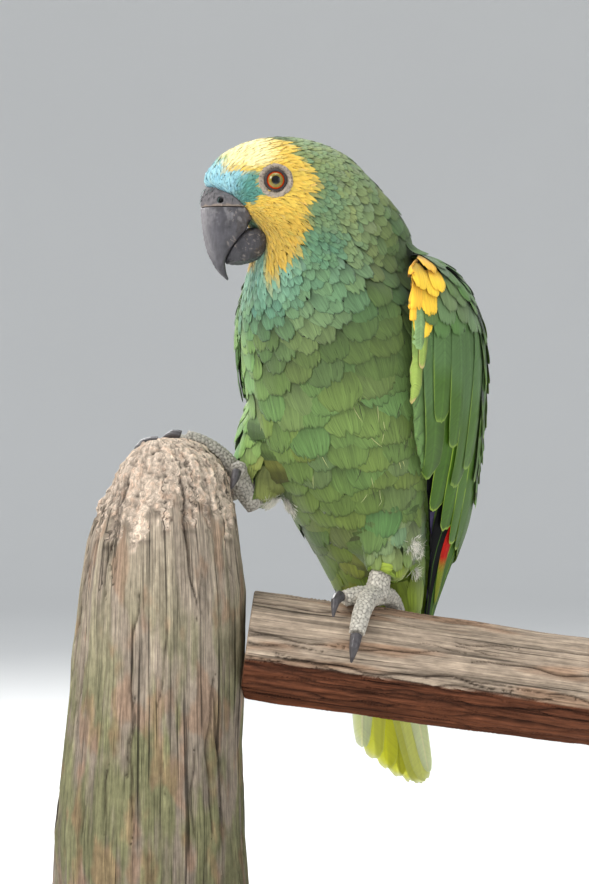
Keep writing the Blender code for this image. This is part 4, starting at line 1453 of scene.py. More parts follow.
def primary_rows(coat, rng):
    """The flight feathers below them: black webs, a violet outer edge, green edges and the red patch."""
    black, green = np.array(coat.quill), np.array(coat.wing)
    violet = np.array(tint(74, 66, 100))
    rows = [{
        "root": (208, 0.21), "tip": (166, 0.2), "width": 5.5, "low": -1.0, "high": 0.1, "roll": 0.2,
        "colour": np.array(tint(128, 138, 44)), "base": np.array(coat.red), "rim": green, "turn": 0.48,
    }]
    edges = (violet, black, green, green * 1.2, np.array(coat.lime), np.array(coat.lime), green, green, black)
    for k, edge in enumerate(edges):
        t = 0.05 + 0.1 * k
        tip = 137 + 1.2 * abs(k - 3) ** 1.5
        inner = black if k < 3 else mixed(black, green, 0.75 if k < 7 else 0.3)
        rows.append({
            "root": (226, t), "tip": (tip, min(0.2 + 0.075 * k, 0.9)), "width": 8.6, "low": -1.2,
            "high": -0.25, "roll": 0.4, "cup": 0.3, "colour": inner * rng.uniform(0.9, 1.1), "base": black,
            "rim": edge, "turn": 0.15,
        })
    return rows


def small_covert_plan(wing, coat, rng):
    """Lesser and median coverts on the wing's upper half, with the yellow bend of the wing."""
    ground = wing.ground
    wide = 7.5e-3
    points, facing = ground.scatter(rng, lambda p: np.full(len(p), 6 / (wide**2 * 0.6)))
    out = facing[:, 0] * wing.side + np.abs(np.minimum(facing[:, 1], 0)) * 0.6 + facing[:, 2] * 0.8
    keep = (points[:, 2] > 300 * MM) & (out > 0.1)
    points, facing = points[keep], facing[keep]
    way = np.array((0.0, -0.12, -1.0))
    way = unit(way - facing * dot(way, facing)[:, None])
    wide = np.interp(points[:, 2] / MM, (280, 300, 322), (9.5, 8.5, 7.0)) * MM
    chosen = spread(points, -points[:, 2], way, wide, wide * 0.62)
    points, facing, way, wide = points[chosen], facing[chosen], way[chosen], wide[chosen]
    count = len(points)
    size = rng.uniform(0.9, 1.15, count)
    middle = points + way * (wide * 1.5)[:, None]
    front = (middle[:, 1] - ground.points[:, 1].min()) / MM
    z = middle[:, 2] / MM
    green = np.array(coat.wing) * rng.uniform(0.9, 1.3, (count, 1))
    grey = mixed(green, tint(112, 126, 100), 0.6 * rng.random(count))
    reach = np.interp(z, (284, 288, 292, 297, 301, 305, 312, 318, 323), (0, 3.5, 5.5, 8, 12, 17, 19, 18, 16))
    patch = (front + rng.normal(0, 0.3, count) < reach).astype(float) * (wing.side > 0)
    shoulder = np.array(coat.shoulder) * rng.uniform(0.9, 1.04, (count, 1))
    foremost = step(2.5, 0.0, front) * (rng.random(count) < 0.3)
    flame = patch * np.clip(0.55 * step(315, 320, z) + foremost * 0.25, 0, 0.8)
    colour = mixed(mixed(grey, np.zeros(3), patch) + shoulder * patch[:, None], coat.flame, flame * 0.8)
    return {
        "root": points, "way": way, "length": wide * 2.0 * size, "width": wide * 0.66 * size,
        "low": np.full(count, -1.3 * MM), "high": np.full(count, 0.7 * MM) + rng.normal(0, 0.12, count) * MM,
        "cup": np.full(count, 0.5 * MM), "roll": np.full(count, 0.3 * MM) * wing.side,
        "bend": rng.normal(0, 0.03, count), "edge": np.where(patch > 0, 0.25, rng.uniform(0.5, 1.1, count)),
        "colour": colour,
    }


def make_wings(coat, rng):
    """Coverts, secondaries and primaries of both wings, laid from below upward."""
    held = grounds(coat)
    small = feather_material("Wing_Coverts", pitch=1.0, contrast=0.2, roughness=0.5)
    long = feather_material("Wing_Quills", pitch=0.8, contrast=0.16, roughness=0.48, sheen=0.03, relief=0.07)
    dull = feather_material(
        "Flight_Feathers", pitch=0.8, contrast=0.16, roughness=0.62, sheen=0.0, relief=0.07
    )
    dull.node_tree.nodes["Principled BSDF"].inputs["Specular IOR Level"].default_value = 0.1
    pieces = []
    for name, side in SIDES.items():
        wing = WingMap(held["wing_" + name], side)

        def laid(label, rows, finish):
            plan, shade = quill_plan(wing, rows), quill_shade(side)
            return coat_pieces(
                label + name, wing.ground, LONG, plan, shade, rng, finish, fan=False, patch=LONG_PATCH
            )

        quills = laid("flight_feathers_", primary_rows(coat, rng), dull)
        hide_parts("primaries_" + name)
        for label, rows in (
            ("secondaries_", secondary_rows(coat, rng)), ("greater_coverts_", greater_rows(coat, rng, side)),
            ("tertials_", tertial_rows(coat, rng)),
        ):
            pieces += laid(label, rows, long)
        plan = small_covert_plan(wing, coat, rng)
        pieces += coat_pieces(
            "lesser_coverts_" + name, wing.ground, CONTOUR, plan, body_shade(0.35, 0.06), rng, small
        )
    return pieces


# Tail


class TailPlane:
    """The level that the tail feathers lie on, which slopes back as it goes down."""

    slope = 0.195
    points = np.array([[0.031, 0.035, 0.12]])

    def lay(self, points):
        facing = unit(np.array((0.0, -1.0, -self.slope)))
        foot = np.array((0.0, 31.0, 141.0)) * MM
        gap = dot(points - foot, facing)
        normal = np.broadcast_to(facing, points.shape)
        return points - normal * gap[..., None], normal


def make_tail(coat, rng):
    """The tail feathers in a stepped fan, the outermost nearest the front and palest."""
    plane = TailPlane()
    # The tail's colours are set near the brightest and its inner webs barely darkened: partly their own
    # colours, partly painted light for the light shining through the tail.
    tail, pale = np.array(coat.tail), np.array(tint(232, 246, 190))
    fan = np.array((
        (16.5, 98, 12, -7.5, 0.85),
        (22.5, 92.5, 15, -5.5, 0.1),
        (29, 87.5, 16, -3, 0.0),
        (34, 84, 16, -1, 0.0),
        (39.5, 82, 16, 1, 0.0),
        (44, 81.5, 16, 3, 0.15),
        (47.5, 83.5, 14, 5.5, 0.3),
        (50.5, 88, 9, 7.5, 0.8),
    ))
    tip_x, tip_z, width, root_x, paleness = fan.T
    count = len(fan)
    tips = np.stack([tip_x, np.full(count, 40.0), tip_z], 1) * MM
    roots = np.stack([BODY_MIDDLE + root_x, np.full(count, 27.0), np.full(count, 168.0)], 1) * MM
    away = np.abs(root_x)
    shade = mixed(tail * rng.uniform(0.9, 1.1, (count, 1)), pale, paleness)
    low = (-1.8 + 0.36 * away + 0.05 * np.arange(count)) * MM
    plan = {
        "root": roots, "way": unit(tips - roots), "length": np.linalg.norm(tips - roots, axis=1),
        "width": width * MM / 2, "low": low, "high": low + 0.2 * MM,
        "cup": np.full(count, 0.25 * MM), "roll": np.zeros(count), "bend": rng.normal(0, 0.01, count),
        "colour": shade, "rim": mixed(shade, pale, 0.2), "base": shade, "turn": np.full(count, 0.2),
        "steps": 8,
    }
    finish = feather_material("Tail_Feathers", pitch=0.8, contrast=0.07, roughness=0.6, relief=0.07)
    shader = finish.node_tree.nodes["Principled BSDF"]
    shader.inputs["Subsurface Weight"].default_value = 0.4
    shader.inputs["Subsurface Radius"].default_value = (1.0, 1.0, 0.4)
    shader.inputs["Subsurface Scale"].default_value = 1.5 * MM
    pieces = coat_pieces(
        "tail_feathers", plane, LONG, plan, quill_shade(1, 0.1), rng, finish, fan=False, patch=LONG_PATCH
    )
    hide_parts("tail")
    return pieces


# Eyes

# In millimetres: the eyeball's radius, where each ring of the iris ends, and the lid's inner and outer rim.
EYEBALL = 6.15
PUPIL_EDGE = (1.8, 1.7)
PUPIL_GLOW = (2.25, 1.8)
IRIS_SPLIT = (3.0, 3.3)
IRIS_EDGE = (3.7, 3.85)
LID_RIMS = (3.8, 7.3)


def face_axes(axis):
    """The ways across and up a round face that looks along an axis."""
    across = unit(np.cross(axis, UP))
    return across, np.cross(across, axis)


def polar_mesh(name, centre, axis, radii, heights, turns):
    """A mesh of rings about an axis, with a radius and a height for every point of each ring."""
    across, upward = face_axes(axis)
    angle = np.arange(turns) * 2 * math.pi / turns
    rim = across[None] * np.cos(angle)[:, None] + upward[None] * np.sin(angle)[:, None]
    points = centre + rim[None] * np.asarray(radii)[:, :, None] + axis * np.asarray(heights)[:, :, None]
    rings = len(points)
    faces = []
    for j in range(rings - 1):
        for i in range(turns):
            k = (i + 1) % turns
            faces.append((j * turns + i, j * turns + k, (j + 1) * turns + k, (j + 1) * turns + i))
    mesh = bpy.data.meshes.new(name)
    mesh.from_pydata([tuple(p) for p in points.reshape(-1, 3)], [], faces)
    mesh.flip_normals()
    return mesh


def make_eyeball(name, horn):
    """One eyeball with the clear bulge of its front, its pupil and two-coloured iris."""
    centre, axis = EYE_MIDDLES[name], GAZES[name]
    radius, turns = EYEBALL * MM, 96
    polar = np.concatenate([np.linspace(0.004, 0.84, 64), np.linspace(0.92, math.pi - 0.004, 14)])
    bulge = 0.75 * MM * np.exp(-((np.degrees(polar) / 30) ** 4))
    ring = (radius + bulge) * np.sin(polar)
    height = (radius + bulge) * np.cos(polar)
    radii = np.repeat(ring[:, None], turns, 1)
    heights = np.repeat(height[:, None], turns, 1)
    mesh = polar_mesh("eye_" + name, centre, axis, radii, heights, turns)
    reach = np.repeat(ring / MM * np.where(polar < math.pi / 2, 1, 9), turns)
    colour = np.tile(horn.iris_core, (len(reach), 1))
    for tone, border in (
        (np.array(horn.iris_core) * 0.45, PUPIL_GLOW), (horn.iris_rim, IRIS_SPLIT),
        ((0.03, 0.012, 0.008), IRIS_EDGE), ((0.001, 0.001, 0.001), PUPIL_EDGE),
    ):
        colour = mixed(colour, tone, step(*border, reach))
    paint(mesh, "Iris", colour)
    flat_map(mesh, centre, axis)
    eye = add_object("eyeball_" + name, mesh, eye_material())
    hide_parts("eye_" + name)
    return eye


def flat_map(mesh, centre, axis):
    """Spreads a rounded cap flat, from its axis outward."""
    away = coordinates(mesh) - centre
    across, upward = face_axes(axis)
    polar = np.arccos(np.clip(dot(unit(away), axis), -1, 1)) / math.pi
    angle = np.arctan2(dot(away, upward), dot(away, across))
    flat = 0.5 + 0.48 * np.stack([np.cos(angle), np.sin(angle)], 1) * polar[:, None]
    add_map(mesh, BAKE_MAP, loop_values(mesh, flat))


def make_eyelids(name, coat, horn):
    """The dark lid edge and the ring of bare wrinkled skin round an eye."""
    centre, axis = EYE_MIDDLES[name], GAZES[name]
    body = grounds(coat)["body"]
    turns, rings = 150, 34
    radius = np.linspace(*LID_RIMS, rings)
    across, upward = face_axes(axis)
    radii = np.empty((rings, turns))
    heights = np.empty((rings, turns))
    colours = np.empty((rings, turns, 3))
    pale, dark = np.array(horn.lid) * (0.86, 0.84, 0.88), np.array(tint(58, 50, 48))
    for i in range(turns):
        angle = 2 * math.pi * i / turns
        rim = across * math.cos(angle) + upward * math.sin(angle)
        wander = noise.noise(Vector((math.cos(angle) * 1.7, math.sin(angle) * 1.7, 3.0)))
        notch = noise.noise(Vector((math.cos(angle) * 9, math.sin(angle) * 9, 7.0)))
        for j, r in enumerate(radius):
            wide = r * (1 + 0.035 * wander * step(3.9, 5.0, r))
            spot = centre + rim * wide * MM
            hit, _ = body.hit(spot + axis * 0.03, -axis, 0.05)
            face = (np.array(hit) - centre) @ axis / MM if hit is not None else 3.0
            ball = math.sqrt(max(EYEBALL**2 - wide**2, 0.2)) + 0.12
            lip = ball + 0.5 * math.exp(-(((wide - 4.3) / 0.38) ** 2))
            skin = face - 0.25 - 0.7 * step(6.5, 7.4, r)
            height = blend(lip, skin, step(4.5, 5.7, r))
            fold = math.sin(wide * 8.5 + 5 * wander) * 0.05 + noise.noise(Vector(spot * 1300)) * 0.2
            fold += noise.noise(Vector(spot * 2900)) * 0.09
            height += fold * step(4.3, 4.9, r)
            radii[j, i], heights[j, i] = wide * MM, height * MM
            speck = noise.noise(Vector(spot * 1900) + Vector((5, 1, 2)))
            tone = pale * (1 + 1.1 * fold) * (1 - 0.55 * step(0.22, 0.5, speck) * step(4.7, 5.3, r))
            colours[j, i] = mixed(tone, dark, 1 - step(4.4, 5.05, wide + 0.3 * wander + 0.4 * notch))
    mesh = polar_mesh("eyelids_" + name, centre, axis, radii, heights, turns)
    paint(mesh, "Skin", colours.reshape(-1, 3))
    flat_map(mesh, centre, axis)
    lids = modified(mesh, ("SOLIDIFY", {"thickness": 0.5 * MM, "offset": -1}))
    piece = add_object("eyelids_" + name, lids, scaly_material("Eye_Skin_" + name, "Skin", 0.55))
    return piece


# Bill and cere


def box_map(mesh):
    """Unwraps a small piece from its six sides, each in its own part of the map."""
    facing = np.empty(len(mesh.polygons) * 3, np.float32)
    mesh.polygons.foreach_get("normal", facing)
    facing = facing.reshape(-1, 3)
    axis = np.abs(facing).argmax(1)
    sign = (np.take_along_axis(facing, axis[:, None], 1)[:, 0] > 0).astype(int)
    cells = np.repeat(axis * 2 + sign, face_sizes(mesh))
    points = coordinates(mesh)
    low, size = points.min(0), float(np.ptp(points, axis=0).max())
    local = (loop_values(mesh, points) - low) / size
    pairs = np.array(((1, 2), (1, 2), (0, 2), (0, 2), (0, 1), (0, 1)))[cells]
    flat = np.take_along_axis(local, pairs, 1) * 0.31
    shift = np.stack([(cells % 3) / 3.0, (cells // 3) / 3.0], 1) + 0.01
    add_map(mesh, BAKE_MAP, flat + shift)


# The middle of the bill's curve, in millimetres forward and up from the middle of the head.
BILL_PIVOT = (16.0, -16.0)


def make_bill(horn):
    """Both halves of the bill with growth ridges, scratches at the cutting edge and a dusty culmen."""
    pieces = []
    finish = horn_material("Horn", "Horn", roughness=0.4, streaks=(700.0, 700.0, 160.0), relief=0.16)
    slate = np.array(horn.horn)
    for name in ("bill_upper", "bill_lower"):
        upper = name == "bill_upper"
        mesh, points, facing = surface([name], 0.42 * MM, 3)
        f, l, u = head_place(points)
        ahead, above = f - BILL_PIVOT[0], u - BILL_PIVOT[1]
        radius = np.hypot(ahead, above)
        turn = np.degrees(np.arctan2(ahead, above))
        ridges = np.sin(turn * 0.9 + soft_noise(points, 5 * MM, 1.0) * 3) * 0.05
        flakes = soft_noise(points, 1.6 * MM, 5.0)
        edge = step(12, 3, radius) if upper else step(8, 17, radius) * 0.6
        chips = np.minimum(flakes, 0) * 0.3 * edge
        streaks = np.stack([radius / 1.7, turn / 38, l / 7], 1)
        mark = np.abs(soft_noise(streaks, 1.0, 9.0, 2))
        scratch = step(0.075, 0.0, mark) * step(19, 11, radius)
        scratch = scratch * step(-0.1, 0.3, soft_noise(points, 5 * MM, 3.0))
        raised(mesh, points, facing, ridges + chips + flakes * 0.07 - scratch * 0.12)
        colour = slate * (1 + 0.3 * soft_noise(points, 4 * MM, 2.0))[:, None] * (1.0 if upper else 0.66)
        if upper:
            culmen = step(15, 22, radius) * step(150, 95, turn) * step(8, 2, np.abs(l))
            patches = step(0.0, 0.5, soft_noise(points, 3 * MM, 6.0))
            dust = culmen * 0.55 + 0.3 * step(110, 60, turn) * patches
            colour = mixed(colour, horn.horn_dust, np.clip(dust, 0, 0.8))
        colour = mixed(colour, tint(166, 154, 144), scratch * 0.55)
        if upper:
            colour = mixed(colour, slate * 0.55, step(128, 150, turn) * 0.7)
        paint(mesh, "Horn", colour)
        box_map(mesh)
        piece = add_object(name + "_horn", mesh, finish)
        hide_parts(name)
        pieces.append(piece)
    return pieces


def make_cere(coat, horn, rng):
    """The cere with its two nostrils, painted near black as painted shade in their hollows, a tan worn edge,
    and dark bristles over it.
    """
    mesh, points, facing = surface(["cere"], 0.4 * MM, 3)
    _, _, u = head_place(points)
    hollow = np.zeros(len(points))
    lip = np.zeros(len(points))
    ground = Ground(mesh)
    for side in SIDES.values():
        spot, _ = ground.lay(from_head(31.2, 9.0 * side, -5.4)[None])
        away = np.linalg.norm((points - spot[0]) / MM, axis=1)
        hollow = np.maximum(hollow, step(1.5, 0.85, away))
        lip = np.maximum(lip, np.exp(-(((away - 1.95) / 0.5) ** 2)))
    grain_bumps = soft_noise(points, 1.3 * MM, 3.0)
    raised(mesh, points, facing, lip * 0.35 - hollow * 1.6 + grain_bumps * 0.16)
    colour = np.tile(horn.cere, (len(points), 1)) * (1 + 0.35 * grain_bumps)[:, None]
    edge = step(-7.1, -8.0, u + 0.8 * soft_noise(points, 2.5 * MM, 6.0))
    colour = mixed(colour, tint(158, 140, 124), edge * 0.6)
    # Painted shade: the nostrils' hollows are painted near black.
    colour = mixed(colour, np.array((0.004, 0.004, 0.004)), hollow)
    paint(mesh, "Skin", colour)
    box_map(mesh)
    piece = add_object("cere_skin", mesh, scaly_material("Cere_Skin", "Skin", 0.65))
    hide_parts("cere")
    return [piece, *make_bristles(ground, coat, rng)]


def make_bristles(cere, coat, rng):
    """Short dark bristles that grow over the cere from the feathers above it."""
    points, facing = cere.scatter(rng, lambda p: np.full(len(p), 0.5e6))
    _, _, u = head_place(points)
    keep = (u > -6.5) & (dot(facing, -FORWARD) < 0.3) & (rng.random(len(u)) < step(-7, 0, u))
    points, facing = points[keep], facing[keep]
    count = len(points)
    side = unit(LEFT)[None] * rng.normal(0, 0.5, (count, 1))
    way = unit(FORWARD * 0.4 - UP * rng.uniform(0.4, 1.2, (count, 1)) + side)
    dark = np.array(tint(38, 40, 42))
    colour = mixed(np.tile(dark, (count, 1)), coat.teal, (rng.random(count) < 0.3) * 0.7)
    plan = {
        "root": points, "way": way, "length": rng.uniform(1.8, 3.4, count) * MM,
        "width": np.full(count, 0.1 * MM), "low": np.full(count, -0.1 * MM),
        "high": rng.uniform(0.2, 0.9, count) * MM, "cup": np.full(count, 0.05 * MM),
        "roll": np.zeros(count), "bend": rng.normal(0, 0.12, count), "edge": np.zeros(count),
        "colour": colour,
    }
    finish = feather_material("Bristles", contrast=0.1, roughness=0.5)
    pieces = coat_pieces("cere_bristles", cere, PLUME, plan, body_shade(0.0, 0.03), rng, finish)
    return pieces


# Feet


def scale_cells(points, rng, pitch):
    """Distance from each point to the seam between the two nearest scales, and each scale's shade."""
    taken = {}
    kept = []
    for p in points[rng.permutation(len(points))].tolist():
        key = tuple(math.floor(c / pitch) for c in p)
        near = [q for a in (-1, 0, 1) for b in (-1, 0, 1) for c in (-1, 0, 1)
                for q in taken.get((key[0] + a, key[1] + b, key[2] + c), ())]
        if all(sum((s - t) ** 2 for s, t in zip(p, q)) > pitch * pitch for q in near):
            taken.setdefault(key, []).append(p)
            kept.append(p)
    tree = point_tree(kept)
    seam = np.empty(len(points))
    which = np.empty(len(points), int)
    for i, p in enumerate(points):
        (_, first, near), (_, _, far) = tree.find_n(p, 2)
        seam[i], which[i] = far - near, first
    return seam, rng.random(len(kept))[which]


# The feet's scales lie this far apart, and the right foot is painted darker than the left as painted shade,
# since it lies in shadow.
SCALE_PITCH = 1.45 * MM
FOOT_PAINTED_SHADE = {"left": 1.0, "right": 0.72}


def make_feet(horn, rng):
    """Scaly feet, the right one painted darker as painted shade, and smooth curved claws."""
    skin = scaly_material("Foot_Skin", "Skin", 0.62)
    claw = horn_material("Claw_Horn", "Horn", 0.36, (500.0, 500.0, 500.0), relief=0.06, coat=0.15)
    pieces = []
    for name in SIDES:
        mesh, points, facing = surface(["foot_" + name], 0.5 * MM, 3)
        seam, shade = scale_cells(points, rng, SCALE_PITCH)
        groove = step(0.42, 0.05, seam / MM)
        puff = step(0.0, 1.0, seam / MM)
        raised(mesh, points, facing, puff * 0.28 - groove * 0.22)
        # Painted shade: the right foot's colour is scaled down.
        base = np.array(horn.foot) * FOOT_PAINTED_SHADE[name]
        colour = base * (0.86 + 0.3 * shade)[:, None]
        colour = mixed(colour, base * 0.2, groove * 0.8)
        paint(mesh, "Skin", colour)
        box_map(mesh)
        foot = add_object("foot_skin_" + name, mesh, skin)
        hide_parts("foot_" + name)
        pieces.append(foot)
        for toe in ("inner", "front", "outer", "hind"):
            node_name = f"claw_{name}_{toe}"
            mesh, points, facing = surface([node_name], 0.3 * MM, 4)
            rough = soft_noise(points, 1.5 * MM, 4.0)
            place(mesh, points + facing * (rough * 0.05 * MM)[:, None])
            colour = np.tile(horn.claw, (len(points), 1)) * (1 + 0.3 * rough)[:, None]
            paint(mesh, "Horn", colour)
            box_map(mesh)
            piece = add_object(node_name + "_horn", mesh, claw)
            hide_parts(node_name)
            pieces.append(piece)
    return pieces


# Perch and stand


def wood_frame(points, start, axis):
    """Place along a length of wood, turn about it and distance from its middle."""
    away = points - start
    run = away @ axis
    spoke = away - axis * run[:, None]
    across = unit(np.cross(axis, np.array((0.31, 0.95, 0.1))))
    other = np.cross(axis, across)
    turn = np.arctan2(spoke @ other, spoke @ across)
    return run, turn, np.linalg.norm(spoke, axis=1)


def cracked(run, turn, radius, rng, count, longest, widest):
    """How deep in a drying crack each point of the wood is, from 0 to 1."""
    low, high = run.min(), run.max()
    depth = np.zeros(len(run))
    for _ in range(count):
        size = rng.uniform(0.25, 1.0) ** 1.6
        half = longest * size / 2
        middle = rng.uniform(low, high)
        angle = rng.uniform(-math.pi, math.pi)
        wave = rng.uniform(0, 6, 3)
        drift = 1.1 * MM * np.sin(run / (9 * MM) + wave[0]) + 1.6 * MM * np.sin(run / (31 * MM) + wave[1])
        drift = drift + 0.5 * MM * np.sin(run / (3.7 * MM) + wave[2])
        apart = (turn - angle + math.pi) % (2 * math.pi) - math.pi
        apart = np.abs(apart * radius - drift)
        wide = widest * (0.45 + 0.55 * size) * np.clip(1 - ((run - middle) / half) ** 2, 0, 1)
        slit = step(1.0, 0.0, apart / np.maximum(wide, 1e-5)) * (0.5 + 0.5 * size) * (wide > 0)
        depth = np.maximum(depth, slit)
    return depth


def grain_map(mesh, start, axis, wander=None, ends=None):
    """A map for the grain, in metres: round the wood and along it, with rings on any cut ends."""
    run, turn, radius = wood_frame(coordinates(mesh), start, axis)
    totals = face_sizes(mesh)
    first = np.concatenate([[0], np.cumsum(totals)[:-1]])
    turns = loop_values(mesh, turn)
    anchor = np.repeat(turns[first], totals)
    turns = anchor + (turns - anchor + math.pi) % (2 * math.pi) - math.pi
    flat = np.stack([turns * float(np.median(radius)), loop_values(mesh, run)], 1)
    if wander is not None:
        flat = flat + loop_values(mesh, wander)
    if ends is not None:
        rings = np.stack([loop_values(mesh, radius), turns * 4 * MM], 1)
        flat = flat + (rings - flat) * loop_values(mesh, ends)[:, None]
    add_map(mesh, "Grain", flat)


# In millimetres: the height down to which the post's top is gnawed, in steps, and the place of its knot.
LEDGE = 207
LEDGE_STEPS = 64
KNOT = (-98, -46, 50)


def make_post(perch):
    """The cut post: a gnawed pale top with a ragged ledge, deep upright cracks and green film low down, and
    painted shade and light.
    """
    mesh = refined(node_meshes("perch_post"), perch.grain, 0.1 * MM, 2)
    points, facing = coordinates(mesh), normals(mesh)
    low, high = (np.array(c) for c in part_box("perch_post"))
    start = np.array(((low[0] + high[0]) / 2, (low[1] + high[1]) / 2, low[2]))
    run, turn, radius = wood_frame(points, start, UP)
    z = points[:, 2] / MM
    rng = seeded("post")
    side = step(0.75, 0.35, np.abs(facing[:, 2]))
    crack = cracked(run, turn, radius, rng, 70, 130 * MM, 1.5 * MM) * side
    ring = np.stack([np.cos(turn) * 5, np.sin(turn) * 5, run / 0.05], 1)
    fibre = soft_noise(ring * (2.2, 2.2, 1), 1.0, 8.0, 4)
    flutes = soft_noise(ring * (0.7, 0.7, 0.3), 1.0, 3.0, 2)
    block = np.floor(turn * 6.5 + 0.8 * soft_noise(points, 9 * MM, 4.0)).astype(int)
    ledge = LEDGE + rng.uniform(-12, 9, LEDGE_STEPS)[block % LEDGE_STEPS]
    facets = soft_noise(points, 7 * MM, 6.0, 2)
    bites = soft_noise(points * (1, 1, 0.6), 2.6 * MM, 16.0, 2)
    crumbs = soft_noise(points, 1.7 * MM, 21.0, 2)
    gnaw = step(-1.6, 1.6, z - ledge + facets * 5 + bites * 3)
    chips = np.abs(soft_noise(points, 5 * MM, 2.5, 2))
    move = -crack * perch.crack / MM * (1 - 0.7 * gnaw) + (fibre * 0.5 + flutes * 1.1) * (1 - gnaw)
    move = move + gnaw * (facets * 1.2 - chips * 0.9 + bites * 0.8 + crumbs * 0.6 - 0.9 * step(232, 222, z))
    knot = np.exp(-((np.linalg.norm(points / MM - KNOT, axis=1) / 17) ** 2)) * 5
    raised(mesh, points, facing, move + knot)
    patches = soft_noise(points * (1, 1, 0.35), 16 * MM, 11.0)
    colour = np.array(perch.weathered) * (1 + 0.2 * patches + 0.3 * fibre)[:, None]
    # Painted shade: the post is painted darker towards its foot.
    colour = colour * (1 - 0.24 * step(170, 80, z))[:, None]
    film = step(228, 110, z) * step(-0.3, 0.3, patches + 0.15 + fibre * 0.5)
    colour = mixed(colour, np.array(perch.algae) * (1 + 0.3 * fibre)[:, None], film * 0.72)
    rust = step(0.1, 0.5, soft_noise(points * (1, 1, 0.4), 9 * MM, 14.0)) * (1 - gnaw)
    colour = mixed(colour, tint(150, 112, 86), rust * 0.4)
    # The gnawed wood is lighter on its raised facets, bites and crumbs and darker in its chips: partly its
    # own mottle, partly painted light and shade that follow the relief.
    worn = np.array(perch.gnawed) * (1 + 0.3 * facets + 0.35 * bites + 0.55 * crumbs - 0.35 * chips)[:, None]
    worn = mixed(worn, tint(158, 108, 72), step(0.15, 0.6, bites + 0.6 * crumbs) * 0.35)
    colour = mixed(colour, worn, step(-5, 4, z - ledge + facets * 6 + bites * 4))
    # Painted shade: the cracks and a band just under the ledge are painted dark.
    shade = np.exp(-((z - ledge + 2.2) / 1.6) ** 2) * (1 - gnaw)
    colour = mixed(colour, tint(46, 36, 30), np.clip(crack * 0.9 + shade * 0.45, 0, 0.92))
    paint(mesh, "Wood", colour)
    wander = np.stack([soft_noise(points, 2.2 * MM, k, 2) for k in (31.0, 37.0)], 1)
    grain_map(mesh, start, UP, wander * gnaw[:, None] * (3.0 * MM, 30.0 * MM))
    box_map(mesh)
    post = add_object("post_wood", mesh, wood_material("Post_Wood", "Wood", 26.0))
    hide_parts("perch_post")
    return post


def make_rail(perch):
    """The rail: a cracked grey top, a dark red-brown underside, rings and splits on its ends, and painted
    shade in its cracks and splits.
    """
    mesh = refined(node_meshes("perch_rail"), perch.grain * 0.9, 0.1 * MM, 2)
    points, facing = coordinates(mesh), normals(mesh)
    level = math.cos(RAIL_DROP)
    axis = unit(np.array((math.cos(RAIL_TURN) * level, math.sin(RAIL_TURN) * level, -math.sin(RAIL_DROP))))
    start = points.mean(0)
    run, turn, radius = wood_frame(points, start, axis)
    end = np.abs(facing @ axis)
    side = step(0.7, 0.3, end)
    crack = cracked(run, turn, radius, seeded("rail"), 110, 120 * MM, 1.15 * MM) * side
    ring = np.stack([np.cos(turn) * 5, np.sin(turn) * 5, run / 0.045], 1)
    fibre = soft_noise(ring * (2, 2, 1), 1.0, 28.0, 4)
    flutes = soft_noise(ring * (0.8, 0.8, 0.3), 1.0, 23.0, 2)
    move = -crack * perch.crack / MM + (fibre * 0.5 + flutes * 0.8) * side
    raised(mesh, points, facing, move)
    fibre = fibre * side
    outward = np.array((math.sin(RAIL_TURN), -math.cos(RAIL_TURN), 0.0))
    spoke = unit((points - start) - axis * run[:, None])
    above = spoke[:, 2] + 0.12 * (spoke @ outward)
    patches = soft_noise(ring * (0.5, 0.5, 0.6), 1.0, 33.0)
    colour = np.array(perch.weathered) * (1.0, 0.96, 0.93) * (1 + 0.2 * patches + 0.35 * fibre)[:, None]
    under = step(0.0, -0.1, above + 0.06 * patches + 0.04 * fibre)
    wear = 1 + 0.3 * fibre + 0.3 * np.maximum(patches, 0)
    scuffed = np.array(perch.bark) * (0.98, 0.87, 0.77) * wear[:, None]
    colour = mixed(colour, scuffed, under * 0.95)
    warm = step(0.15, 0.5, patches) * (1 - under)
    colour = mixed(colour, tint(142, 104, 76), warm * 0.55)
    # Painted shade: the cracks are painted dark.
    colour = mixed(colour, tint(40, 29, 24), crack * 0.92)
    sawn = step(0.8, 0.97, end)
    rings = np.sin(radius / (0.75 * MM) + 2.5 * soft_noise(points, 14 * MM, 41.0))
    spokes = np.sin(turn * 3.5 + 1.2 * soft_noise(points, 9 * MM, 43.0)) * radius / (0.7 * MM)
    # Painted shade: the splits on the sawn ends are painted darker.
    split = np.exp(-(spokes**2))
    cut = np.array(tint(150, 122, 94)) * (1 + 0.14 * rings - 0.5 * split)[:, None]
    colour = mixed(colour, cut, sawn * 0.75)
    paint(mesh, "Wood", colour)
    grain_map(mesh, start, axis, ends=sawn)
    box_map(mesh)
    rail = add_object("rail_wood", mesh, wood_material("Rail_Wood", "Wood", 22.0))
    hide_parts("perch_rail")
    return rail


def finish_stand(perch):
    """Gives the kept base and rods their finishes."""
    stained, steel = stained_material(perch.base), steel_material()
    for name, finish in (("stand_base", stained), ("stand_rod_left", steel), ("stand_rod_right", steel)):
        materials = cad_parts[name].data.materials
        materials.clear()
        materials.append(finish)


# Stage


def area_light(name, place_at, aim, size, power, colour=(1, 1, 1)):
    data = bpy.data.lights.new(name, "AREA")
    data.shape, data.size, data.energy, data.color = "DISK", size, power, colour
    lamp = bpy.data.objects.new(name, data)
    lamp.location = place_at
    lamp.visible_camera = False
    lamp.rotation_euler = (Vector(aim) - Vector(place_at)).to_track_quat("-Z", "Y").to_euler()
    bpy.context.scene.collection.objects.link(lamp)
    return lamp


# The floor's reach, the radius of the curve up to its wall, the wall's top, and the steps of each turn.
FLOOR_REACH = 3.6
FLOOR_CURVE = 1.2
WALL_TOP = 1.8
FLOOR_TURNS = 96
CURVE_STEPS = 12


